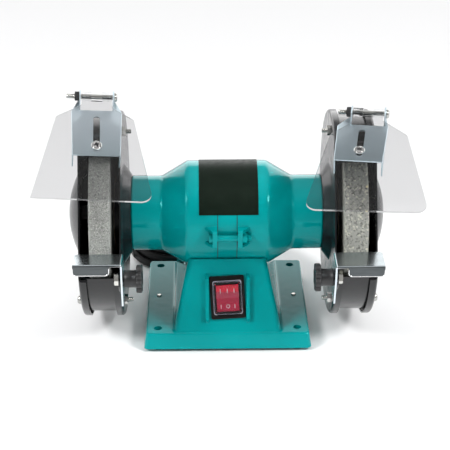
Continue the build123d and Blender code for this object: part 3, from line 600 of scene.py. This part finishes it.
cu = bpy.data.curves.new("mains_lead", "CURVE")
cu.dimensions = "3D"
cord_pts = LEAD + coil_points() + TAIL
sp = cu.splines.new("NURBS")
sp.points.add(len(cord_pts) - 1)
for q, c in zip(sp.points, cord_pts):
    q.co = (c[0] * S, c[1] * S, c[2] * S, 1.0)
sp.order_u = 3
sp.use_endpoint_u = True
sp.resolution_u = 5
cu.bevel_depth = CORD_R * S
cu.bevel_resolution = 5
cu.use_fill_caps = True
cu.materials.append(lead_pvc)
lead = bpy.data.objects.new("mains_lead", cu)
scene.collection.objects.link(lead)
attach(lead, "base")
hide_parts("mains_cord", "mains_cord_coil")

# plug with finger grips and a ribbed sleeve
PLUG = place((-74.0, 151.0, 12.9), (-1.0, 0.0, 0.03), (0, 1, 0))
sleeve = Mesh()
prof = [(4.3, 0.0), (4.6, 0.5)]
z = 1.2
while z < 13.0:
    r = 4.7 + 1.5 * z / 14
    prof += [(r, z), (r, z + 1.3), (r - 0.75, z + 1.6), (r - 0.75, z + 2.2)]
    z += 2.5
prof += [(6.2, 14.2), (6.2, 15.0)]
sleeve.add(*turned(prof, 40))


def grip(amount):
    return lambda t: 1.0 - amount * (0.5 - 0.5 * math.cos(14 * t)) * (1.0 if abs(math.sin(t)) > 0.25 else 0.4)


loops = []
for r, z, g in ((5.4, 14.0, 0), (7.0, 15.6, 0), (9.3, 19.0, 0.01), (11.2, 21.6, 0.02), (12.9, 24.4, 0.04), (13.35, 26.0, 0.05), (13.4, 30.0, 0.055), (13.4, 33.2, 0.05),
                (13.4, 34.2, 0.0), (13.4, 36.8, 0.0), (13.0, 37.7, 0.0), (12.3, 38.0, 0.0), (6.0, 38.0, 0.0)):
    loops.append(circle(r, z, 112, grip(g)))
sleeve.add(*rings(loops))
plug = build("mains_plug_body", sleeve.v, sleeve.f, black_plastic, "base", ("mains_plug",), 50, PLUG)

# tie round the coil
def band_loop(rc, zc, hw, hh, corner, n=48):
    pts = []
    for k in range(n):
        t = 2 * math.pi * k / n
        c, s = math.cos(t), math.sin(t)
        pts.append((rc + hw * math.copysign(abs(c) ** corner, c), zc + hh * math.copysign(abs(s) ** corner, s)))
    return pts


tie = Mesh()
TA = rad(205.0)
er, et = (math.cos(TA), math.sin(TA)), (-math.sin(TA), math.cos(TA))


def tie_ring(w, grow):
    return [(COIL[0] + er[0] * a + et[0] * w, COIL[1] + er[1] * a + et[1] * w, max(b, 0.02)) for a, b in band_loop(34.9, 10.1, 10.45 + grow, 10.05 + grow, 0.62)]


tie.add(*rings([tie_ring(-1.8, 0.0), tie_ring(-1.8, 0.9), tie_ring(-1.5, 1.1), tie_ring(1.5, 1.1), tie_ring(1.8, 0.9), tie_ring(1.8, 0.0)], loop=True))
hb = place((COIL[0] + er[0] * 33.0, COIL[1] + er[1] * 33.0, 20.4), (0, 0, 1), (er[0], er[1], 0))
tie.add(*rings([[(x * g, y * g, z) for x, y in ((-3.4, -2.6), (3.4, -2.6), (3.4, 2.6), (-3.4, 2.6))] for g, z in ((1.0, 0.0), (1.0, 2.4), (0.82, 3.2))]), hb)
build("lead_tie", tie.v, tie.f, tie_white, "base", (), 40)

# strain relief: a collar, then a ribbed taper
relief = Mesh()
RL = place((8.0, 0.0, 27.0), (0, 1, 0), (0, 0, 1))
prof = [(7.4, 55.2), (8.2, 55.7), (8.2, 58.9), (7.7, 59.6), (6.2, 59.6)]
y = 60.4
while y < 87.0:
    r = 6.2 - (y - 59.0) * 1.8 / 31
    prof += [(r, y), (r, y + 1.9), (r - 0.9, y + 2.15), (r - 0.9, y + 3.0)]
    y += 3.25
prof += [(4.55, 89.0), (4.4, 90.0)]
relief.add(*turned(prof, 48), RL)
build("strain_relief", relief.v, relief.f, rubber, "base", ("cord_strain_relief",), 40)

# ------------------------------------------------------------------ finishes on the carried-over pieces
dress(teal_base, "base_shell")
dress(teal, "end_bell_left", "end_bell_right", "stator_core")
dress(black_sheet, "bottom_plate")
dress(zinc_leaf, "spark_arrestor_left", "spark_arrestor_right")
dress(bright, "bottom_plate_rivets", "motor_mount_bolts", "capacitor_clamp")
dress(dark_steel_and_recess_shade, "guard_mount_screws", "inner_flanges", "outer_flanges", "wheel_nuts")
dress(frame_black, "switch_housing")
dress(black_plastic, "terminal_block")
dress(plate_black, "rating_plate")
dress(boot_clear, "switch_boot")
dress(red, "switch_rocker")
dress(paper, "wheel_blotters")
dress(rubber, "rubber_feet")
dress(ground, "spindle_shaft", "bearing_outer_races", "bearing_inner_races", "bearing_balls", "bearing_wave_washer")
dress(lamination, "rotor_core")
dress(copper, "stator_windings")
dress(cast_alu, "rotor_end_rings", "run_capacitor")
dress(brass, "switch_terminals", "plug_pins")

# ------------------------------------------------------------------ hinge bolts, nuts and deflector screws
BR = {
    "left": dict(x=-100.0, f=40.5, h=76.1, slope=24.3, skew=2.15, roll=5.76, b=9.0, ox=-0.2),
    "right": dict(x=99.8, f=51.4, h=75.1, slope=12.5, skew=-9.84, roll=-2.82, b=11.8, ox=3.6),
}
PIN_B, PIN_N = 57.0, 6.0


def bracket(side):
    br = BR[side]
    c, s = math.cos(rad(br["slope"])), math.sin(rad(br["slope"]))
    m = axes((br["x"], -br["f"], AXIS_H + br["h"]), (1, 0, 0), (0, c, s), (0, -s, c))
    return m @ Matrix.Rotation(rad(br["skew"]), 4, "Z") @ Matrix.Rotation(rad(br["roll"]), 4, "Y") @ Matrix.Translation((0, -br["b"], -0.5))


def sunk(v, f, r, h, dome):
    """1 for the faces down in the cross recess of a pan head, 0 for the rest; those faces take a dark material as
    painted shade.
    """
    out = []
    for q in f:
        x, y, z = np.mean([v[i] for i in q], axis=0)
        rr = math.hypot(x, y) / r
        e = max(0.0, (rr - 0.62) / 0.38)
        top = h - dome * rr * rr - (h * 0.5) * (1 - math.sqrt(max(0.0, 1 - e * e)))
        out.append(1 if rr < 0.66 and z > 0.15 * h and top - z > 0.16 * h else 0)
    return out


screws, recess_shade_index = Mesh(), []
for side in ("left", "right"):
    B = bracket(side)
    pin = B @ place((BR[side]["ox"], PIN_B, PIN_N), (1, 0, 0), (0, 0, 1))
    bolt = Mesh()
    bolt.add(*turned([(1.98, -13.4), (1.98, 13.6)], 32), pin)
    bolt.add(*thread(2.0, -13.3, -23.7, 0.8, 0.34), pin)
    bolt.add(*pan_head(3.6, 2.6, 0.25, True, 72, 16, 0.4), pin @ Matrix.Translation((0, 0, 13.5)))
    build("hinge_bolt_" + side + "_detail", bolt.v, bolt.f, nut_zinc, body_of("hinge_bolt_" + side), ("hinge_bolt_" + side,))
    nut = Mesh()
    nut.add(*hex_nut(7.0, 3.6, 2.0, turn=0.2), pin @ Matrix.Translation((0, 0, -17.1)))
    build("hinge_nut_" + side + "_detail", nut.v, nut.f, black_oxide, body_of("hinge_nut_" + side), ("hinge_nut_" + side,))
    b = BR[side]["b"]
    seat = B @ Matrix.Translation((0, b, 1.3))
    v, f = pan_head(4.4, 2.5, 0.3, True, 96, 22, 0.35 if side == "left" else 0.75)
    screws.add(v, f, seat)
    recess_shade_index += sunk(v, f, 4.4, 2.5, 0.3)
    v, f = thread(2.0, 0.2, -8.0, 0.7, 0.3)
    screws.add(v, f, seat)
    recess_shade_index += [0] * len(f)
# painted shade: the faces down in each cross recess take the dark steel
build("deflector_screws", screws.v, screws.f, [screw_bright, dark_steel_and_recess_shade], "base", ("arrestor_screws",), index=recess_shade_index)

# ------------------------------------------------------------------ guard bolts and nuts, tie bolts, tool-rest bolts
TABS = [(72.6 * math.cos(rad(a)), 72.6 * math.sin(rad(a))) for a in (-45.0, 205.0)]
TABS.insert(1, (2.5, 72.6))
GX0, GX1, SHEET = 82.4, 115.4, 1.2
gb, gn = Mesh(), Mesh()
for sx in (-1, 1):
    for i, (f, h) in enumerate(TABS):
        def at(x, d):
            return place((sx * x, -f, AXIS_H + h), (sx * d, 0, 0), (0, 0, 1))
        turn = 0.5 * i + (0.3 if sx > 0 else 0.0)
        gb.add(*pan_head(3.6, 2.2, 0.3, True, 72, 14, turn), at(GX0 + 2 * SHEET, 1))
        gb.add(*thread(1.95, -0.2, -9.6, 0.7, 0.3, 24), at(GX0 + 2 * SHEET, 1))
        gn.add(*hex_nut(7.0, 3.2, 1.95, turn=turn), at(GX0, -1))
        gb.add(*pan_head(3.6, 4.4, 0.5, True, 72, 18, turn + 0.4), at(GX1, 1))
        gb.add(*thread(1.95, -0.2, -6.5, 0.7, 0.3, 24), at(GX1, 1))
        gn.add(*hex_nut(7.0, 3.0, 1.95, turn=turn), at(GX1 - 2 * SHEET, -1))
build("guard_bolts_detail", gb.v, gb.f, nut_zinc, "base", ("guard_bolts",))
build("guard_nuts_detail", gn.v, gn.f, nut_zinc, "base", ("guard_nuts",))

ties, tnuts = Mesh(), Mesh()
for sf in (1, -1):
    def at(x, d):
        return place((x, -sf * 46.7, AXIS_H), (d, 0, 0), (0, 0, 1))
    ties.add(*turned([(2.44, -0.2), (2.44, 24.0)], 28), at(-11.9, 1))
    ties.add(*turned([(3.5, 0.0), (3.6, 0.15), (3.6, 2.2), (3.3, 2.8), (2.6, 3.0), (1.4, 3.0), (1.3, 2.3), (0.4, 2.3)], 40), at(-11.8, -1))
    ties.add(*thread(2.45, 0.0, 7.0, 0.8, 0.34, 28), at(12.0, 1))
    tnuts.add(*hex_nut(7.2, 3.8, 2.45, turn=0.26), at(11.8, 1))
build("tie_bolts_detail", ties.v, ties.f, teal_hw, "base", ("tie_bolts",))
build("tie_bolt_nuts_detail", tnuts.v, tnuts.f, teal_hw, "base", ("tie_bolt_nuts",))

rb = Mesh()
for sx in (-1, 1):
    M = place((sx * (GX0 + SHEET), -88.0, AXIS_H - 12.5), (sx, 0, 0), (0, 0, 1))
    rb.add(*hex_nut(8.8, 3.6, None, both=False, turn=0.15), M)
    rb.add(*thread(2.95, 0.3, -11.8, 1.0, 0.4), M)
build("tool_rest_bolts_detail", rb.v, rb.f, bright, "base", ("tool_rest_bolts",))

# ------------------------------------------------------------------ star knobs
def star(t):
    lobe = 0.5 + 0.5 * math.cos(8 * t)
    return 1.0 - 0.19 * (1.0 - lobe ** 0.55)


for side, sx in (("left", -1), ("right", 1)):
    M = place((sx * 65.5, -88.0, AXIS_H - 12.5), (sx, 0, 0), (0, 1, 0))
    kn = Mesh()
    lv = [(5.4, 0.55), (5.8, 0.25), (9.7, 0.05), (10.4, 0.18), (10.86, 0.52), (11.08, 1.05), (11.1, 2.4), (11.08, 3.9), (10.84, 4.45), (10.3, 4.75), (7.2, 4.8)]
    kn.add(*rings([circle(r, z, 144, star if r > 6.5 else None) for r, z in lv]), M)
    kn.add(*turned([(6.3, 4.4), (6.85, 4.9), (6.85, 6.2), (6.6, 6.5), (6.6, 12.9), (6.85, 13.2), (6.85, 14.0), (6.5, 14.4), (3.2, 14.4)], 56), M)
    build("star_knob_" + side, kn.v, kn.f, black_plastic, "knob_" + side, ("knob_" + side,), 46)

# ------------------------------------------------------------------ grinding wheels
def wheel(name, sx, width, mat, seed, grain, step):
    rng = np.random.RandomState(seed)
    R0, xc = 75.0, 98.3
    n = int(2 * math.pi * R0 / step)
    prof = []                                   # (x offset, radius, roughness of that ring)
    half = width / 2
    for r in (6.35, 12.0, 25.0, 40.0, 55.0, 66.0, 71.0, 73.4):
        prof.append((-half, r, 0.05 if r > 30 else 0.0))
    m = int(width / step)
    for i in range(m + 1):
        u = -half + width * i / m
        e = half - abs(u)
        prof.append((u, R0 - (0.8 * (1 - min(1.0, e / 0.8)) ** 1.4), grain))
    for r in (73.4, 71.0, 66.0, 55.0, 40.0, 25.0, 12.0, 6.35):
        prof.append((half, r, 0.05 if r > 30 else 0.0))
    ang = np.arange(n) * 2 * math.pi / n
    verts = []
    coarse = rng.rand(len(prof) // 2 + 3, n // 2 + 3)
    for i, (u, r, g) in enumerate(prof):
        fine = rng.rand(n)
        big = np.repeat(coarse[i // 2], 2)[:n]
        d = g * (0.65 * fine + 0.35 * big) if r > 74 else 0.0
        rr = r - d
        uu = u + (np.sign(u) * -1) * (g * fine if r < 74 else 0.0)
        block = np.stack([np.full(n, sx * xc) + sx * uu * np.ones(n), rr * np.cos(ang), AXIS_H + rr * np.sin(ang)], axis=1)
        verts.append(block)
    v = np.concatenate(verts)
    k = np.arange(n)
    q = (k + 1) % n
    faces = []
    L = len(prof)
    for i in range(L):
        a, b = i * n, ((i + 1) % L) * n
        block = np.stack([a + k, a + q, b + q, b + k], axis=1)
        faces.append(block if sx < 0 else block[:, ::-1])
    faces = np.concatenate(faces)[:, ::-1]
    return build(name, v, faces.tolist(), mat, "spindle", (name[:-7],), 70)


wheel("wheel_left_detail", -1, 16.5, grit_fine, 11, 0.20, 0.62)
wheel("wheel_right_detail", 1, 18.5, grit_coarse, 23, 0.34, 0.80)

# ------------------------------------------------------------------ clear shields: polished faces, cut edges
for side in ("left", "right"):
    node = NODES["eye_shield_" + side]
    me = node.data.copy()
    me.name = "eye_shield_" + side + "_detail"
    me.materials.clear()
    me.materials.append(clear)
    me.materials.append(clear_edge)
    me.materials.append(clear_barrel)
    n = len(me.polygons)
    nor = np.zeros(n * 3)
    me.polygons.foreach_get("normal", nor)
    nor = nor.reshape(-1, 3)
    area = np.zeros(n)
    me.polygons.foreach_get("area", area)
    big = nor[np.argmax(area)]
    cen = np.zeros(n * 3)
    me.polygons.foreach_get("center", cen)
    cen = cen.reshape(-1, 3)
    pin = bracket(side) @ Vector((BR[side]["ox"], PIN_B, PIN_N)) * S
    line = np.array(bracket(side).to_3x3() @ Vector((1, 0, 0)))
    arm = cen - np.array(pin)
    gap = np.linalg.norm(arm - np.outer(arm @ line, line), axis=1)
    kind = ((np.abs(nor @ big) < 0.3) & (gap > 0.011)).astype(np.int32)
    kind[gap < 0.0045] = 2
    me.polygons.foreach_set("material_index", kind)
    ob = bpy.data.objects.new("eye_shield_" + side + "_detail", me)
    scene.collection.objects.link(ob)
    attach(ob, "shield_" + side)
    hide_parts("eye_shield_" + side)

# ------------------------------------------------------------------ guard sheets: clean outside, grit dust inside with its specks painted bright (partly painted light)
for sheet in ("guard_inner_", "guard_band_", "guard_cover_"):
    for side, sx in (("left", -1), ("right", 1)):
        name = sheet + side
        me = NODES[name].data.copy()
        me.name = name + "_detail"
        me.materials.clear()
        me.materials.append(black_sheet)
        me.materials.append(black_dust_and_light)
        n = len(me.polygons)
        nor, cen = np.zeros(n * 3), np.zeros(n * 3)
        me.polygons.foreach_get("normal", nor)
        me.polygons.foreach_get("center", cen)
        out = cen.reshape(-1, 3) - np.array((sx * 0.0985, 0.0, AXIS_H * S))
        inside = np.sum(nor.reshape(-1, 3) * out, axis=1) < -0.002
        me.polygons.foreach_set("material_index", inside.astype(np.int32))
        ob = bpy.data.objects.new(name + "_detail", me)
        scene.collection.objects.link(ob)
        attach(ob, body_of(name))
        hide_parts(name)

# ------------------------------------------------------------------ tool rests: plated faces in lit and shaded copies of the zinc (painted reflection), sheared edges
for side, sx in (("left", -1), ("right", 1)):
    node = NODES["tool_rest_" + side]
    me = node.data.copy()
    me.name = "tool_rest_" + side + "_detail"
    me.materials.clear()
    me.materials.append(zinc_table)
    me.materials.append(zinc_edge)
    me.materials.append(zinc_lip)
    me.materials.append(zinc)
    n = len(me.polygons)
    nor, cen = np.zeros(n * 3), np.zeros(n * 3)
    me.polygons.foreach_get("normal", nor)
    me.polygons.foreach_get("center", cen)
    nor, cen = nor.reshape(-1, 3), cen.reshape(-1, 3)
    tilt = rad(-7.5) if side == "left" else 0.0
    y = nor[:, 1] * math.cos(-tilt) - nor[:, 2] * math.sin(-tilt)
    z = nor[:, 1] * math.sin(-tilt) + nor[:, 2] * math.cos(-tilt)
    dy, dz = cen[:, 1] + 0.088, cen[:, 2] - (AXIS_H - 12.5) * S
    ly = dy * math.cos(-tilt) - dz * math.sin(-tilt)
    lz = dy * math.sin(-tilt) + dz * math.cos(-tilt)
    x = np.abs(cen[:, 0])
    leg_edge = (x < 0.0819) & (np.abs(nor[:, 0]) < 0.2) & (lz < 0.0145)
    lip_edge = (z < -0.5) & (ly < -0.012)
    end_edge = (np.abs(nor[:, 0]) > 0.9) & (x > 0.0825)
    step_edge = (y < -0.9) & (x < 0.0899) & (lz > 0.0125)
    kind = (lip_edge | end_edge | step_edge).astype(np.int32)
    # painted reflection: the leg faces take the plain, brighter zinc and the down-facing lip the near-black copy, while
    # the remaining plain faces keep the darker table copy
    kind[leg_edge] = 3
    kind[(y < -0.75) & (x > 0.0899) & ~lip_edge] = 2
    me.polygons.foreach_set("material_index", kind)
    ob = bpy.data.objects.new("tool_rest_" + side + "_detail", me)
    scene.collection.objects.link(ob)
    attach(ob, "rest_" + side)
    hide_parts("tool_rest_" + side)
    # bright sheared bead along the foot of the lip
    path = [(117.3, 1.5), (117.3, -1.1)] + [(114.4 + 2.9 * math.cos(rad(a)), -1.1 - 2.9 * math.sin(rad(a))) for a in range(15, 91, 15)]
    path += [(114.4 - 21.4 * i / 8, -4.0) for i in range(1, 9)] + [(93.0 - 2.9 * math.sin(rad(a)), -1.1 - 2.9 * math.cos(rad(a))) for a in range(15, 91, 15)] + [(90.1, 1.5)]
    T = Matrix.Translation((0, -88.0, AXIS_H - 12.5)) @ Matrix.Rotation(tilt, 4, "X") @ Matrix.Translation((0, 88.0, -(AXIS_H - 12.5)))
    loops = []
    for i, (px, pz) in enumerate(path):
        ax, az = path[max(0, i - 1)]
        bx, bz = path[min(len(path) - 1, i + 1)]
        d = math.hypot(bx - ax, bz - az)
        nx, nz = -(bz - az) / d, (bx - ax) / d
        lp = []
        for j in range(10):
            u = 2 * math.pi * j / 10
            lp.append((sx * (px + 0.42 * math.cos(u) * nx), -102.6 + 0.42 * math.sin(u), AXIS_H + pz + 0.42 * math.cos(u) * nz))
        loops.append(lp)
    v, f = rings(loops)
    build("rest_bead_" + side, v, f if sx > 0 else [tuple(reversed(q)) for q in f], zinc_edge, "rest_" + side, (), 40, T)

# ------------------------------------------------------------------ switch marks
FL = math.hypot(23.0, 54.4)
FY, FN = Vector((0, 23.0 / FL, 54.4 / FL)), Vector((0, -54.4 / FL, 23.0 / FL))
ct, st = math.cos(rad(3.0)), math.sin(rad(3.0))
SX = Vector((1, 0, 0)) * ct + FY * st
SY = FY * ct - Vector((1, 0, 0)) * st
SW = axes(Vector((0, -37.0, 70.4)) + FY * -30.5, SX, SY, FN)
ROCK = SW @ Matrix.Translation((0, 0, -4.5)) @ Matrix.Rotation(rad(6.0), 4, "X") @ Matrix.Translation((0, 0, 4.5))


def rocker_top(y):
    a = abs(y)
    if a <= 4.2:
        return 1.7 + 0.4 * a / 4.2
    return 2.1 + 1.3 * (a - 4.2) / 6.4


marks = Mesh()
for x in (-5.6, 0.0, 5.4):
    for y0, y1 in ((4.2, 8.0), (-8.2, -5.0)):
        if x == 0.0 and y0 < 0:
            continue
        loops = []
        for i in range(7):
            y = y0 + (y1 - y0) * i / 6
            w = 0.30 * (0.55 if i in (0, 6) else 1.0)
            t = rocker_top(y)
            loops.append([(x - w, y, t - 0.2), (x + w, y, t - 0.2), (x + w, y, t + 0.16), (x + w * 0.5, y, t + 0.24), (x - w * 0.5, y, t + 0.24), (x - w, y, t + 0.16)])
        v, f = rings(loops)
        marks.add(v, [tuple(reversed(q)) for q in f])
loops = []
for k in range(28):
    t = 2 * math.pi * k / 28
    lp = []
    for j in range(8):
        u = 2 * math.pi * j / 8
        r = 1.3 + 0.27 * math.cos(u)
        x, y = r * math.cos(t), -6.6 + r * math.sin(t)
        lp.append((x, y, rocker_top(y) + 0.22 * math.sin(u)))
    loops.append(lp)
v, f = rings(loops, loop=True)
marks.add(v, [tuple(reversed(q)) for q in f])
build("switch_marks", marks.v, marks.f, mark, "rocker", (), 40, ROCK)

# rolled rim at the foot of the clear boot
loops = []
hx, hy, rc = 11.1, 13.2, 1.3
path = []
for cx, cy, a0 in ((hx - rc, hy - rc, 0), (-hx + rc, hy - rc, 90), (-hx + rc, -hy + rc, 180), (hx - rc, -hy + rc, 270)):
    for a in range(0, 91, 10):
        path.append((cx + rc * math.cos(rad(a0 + a)), cy + rc * math.sin(rad(a0 + a)), math.cos(rad(a0 + a)), math.sin(rad(a0 + a))))
for px, py, nx, ny in path:
    loops.append([(px + 0.5 * math.cos(2 * math.pi * j / 10) * nx, py + 0.5 * math.cos(2 * math.pi * j / 10) * ny, 3.3 + 0.5 * math.sin(2 * math.pi * j / 10)) for j in range(10)])
v, f = rings(loops, loop=True)
build("boot_rim", v, f, boot_rim, "base", (), 40, SW)

# ------------------------------------------------------------------ seams beside the stator band
seams = Mesh()
for sx in (-1, 1):
    M = place((0, 0, AXIS_H), (sx, 0, 0), (0, 0, 1))
    v, f = rings([circle(r, z, 160) for r, z in ((42.0, 7.30), (42.27, 7.36), (42.27, 7.90), (42.0, 7.94))], loop=True)
    seams.add(v, f, M)
build("stator_seams", seams.v, seams.f, seam_dark, "base", (), 40)

# ------------------------------------------------------------------ floor and light
fl = bpy.data.meshes.new("floor")
fl.from_pydata([(-5, -5, 0), (5, -5, 0), (5, 7, 0), (-5, 7, 0)], [], [(0, 1, 2, 3)])
m = Nodes("floor_white_painted_shade_behind")
xyz = m.nt.nodes.new("ShaderNodeSeparateXYZ")
m.link(m.coord, xyz.inputs["Vector"])
pale = m.ramp(m.noise(3, 2), [(0.3, (0.915, 0.915, 0.92)), (0.7, (0.925, 0.925, 0.93))])
# painted shade: the floor turns grey behind the object, blending in from y = 0.09 m to 0.21 m
m.set(Base_Color=m.mix(m.span(xyz.outputs["Y"], 0.0, 1.0, 0.09, 0.21), pale, (0.73, 0.73, 0.735)), Roughness=0.55, Specular_IOR_Level=0.25)
fl.materials.append(m.mat)
floor = bpy.data.objects.new("floor", fl)
scene.collection.objects.link(floor)

world = bpy.data.worlds.new("studio")
scene.world = world
world.use_nodes = True
wn = world.node_tree
wn.nodes.clear()


def wnode(kind, **kw):
    n = wn.nodes.new(kind)
    for k, v in kw.items():
        n.inputs[k].default_value = v
    return n


def wramp(fac, stops):
    n = wn.nodes.new("ShaderNodeValToRGB")
    el = n.color_ramp.elements
    while len(el) < len(stops):
        el.new(0.5)
    for e, (pos, v) in zip(el, stops):
        e.position = pos
        e.color = (v, v, v, 1.0)
    wn.links.new(fac, n.inputs["Fac"])
    return n.outputs["Color"]


# a bright sweep low at the back, a dim room in front, a soft glow overhead
sky = wn.nodes.new("ShaderNodeTexCoord")
part = wn.nodes.new("ShaderNodeSeparateXYZ")
wn.links.new(sky.outputs["Generated"], part.inputs["Vector"])
back = wramp(part.outputs["Z"], [(0.0, 1.0), (0.485, 1.0), (0.53, 0.17), (0.75, 0.21), (0.96, 0.42)])
front = wramp(part.outputs["Z"], [(0.0, 0.26), (0.25, 0.17), (0.50, 0.08), (0.80, 0.15), (0.96, 0.42)])
turn = wnode("ShaderNodeMapRange", **{"From Min": -0.15, "From Max": 0.35})
turn.interpolation_type = "SMOOTHSTEP"
wn.links.new(part.outputs["Y"], turn.inputs["Value"])
both = wn.nodes.new("ShaderNodeMix")
both.data_type = "RGBA"
wn.links.new(turn.outputs["Result"], both.inputs[0])
wn.links.new(front, both.inputs[6])
wn.links.new(back, both.inputs[7])
bg = wnode("ShaderNodeBackground", Strength=2.5)
wn.links.new(both.outputs[2], bg.inputs["Color"])
wo = wn.nodes.new("ShaderNodeOutputWorld")
wn.links.new(bg.outputs["Background"], wo.inputs["Surface"])


def area(name, loc, target, size, power, colour=(1, 1, 1)):
    d = bpy.data.lights.new(name, "AREA")
    d.shape = "RECTANGLE"
    d.size, d.size_y = size
    d.energy = power
    d.color = colour
    o = bpy.data.objects.new(name, d)
    scene.collection.objects.link(o)
    o.location = loc
    o.rotation_euler = (Vector(target) - Vector(loc)).to_track_quat("-Z", "Y").to_euler()
    return o


area("key_left", (-1.22, -0.85, 1.44), (0, 0, 0.08), (0.46, 0.46), 25.0)
area("key_right", (1.24, -0.84, 1.44), (0, 0, 0.08), (0.46, 0.46), 25.5)
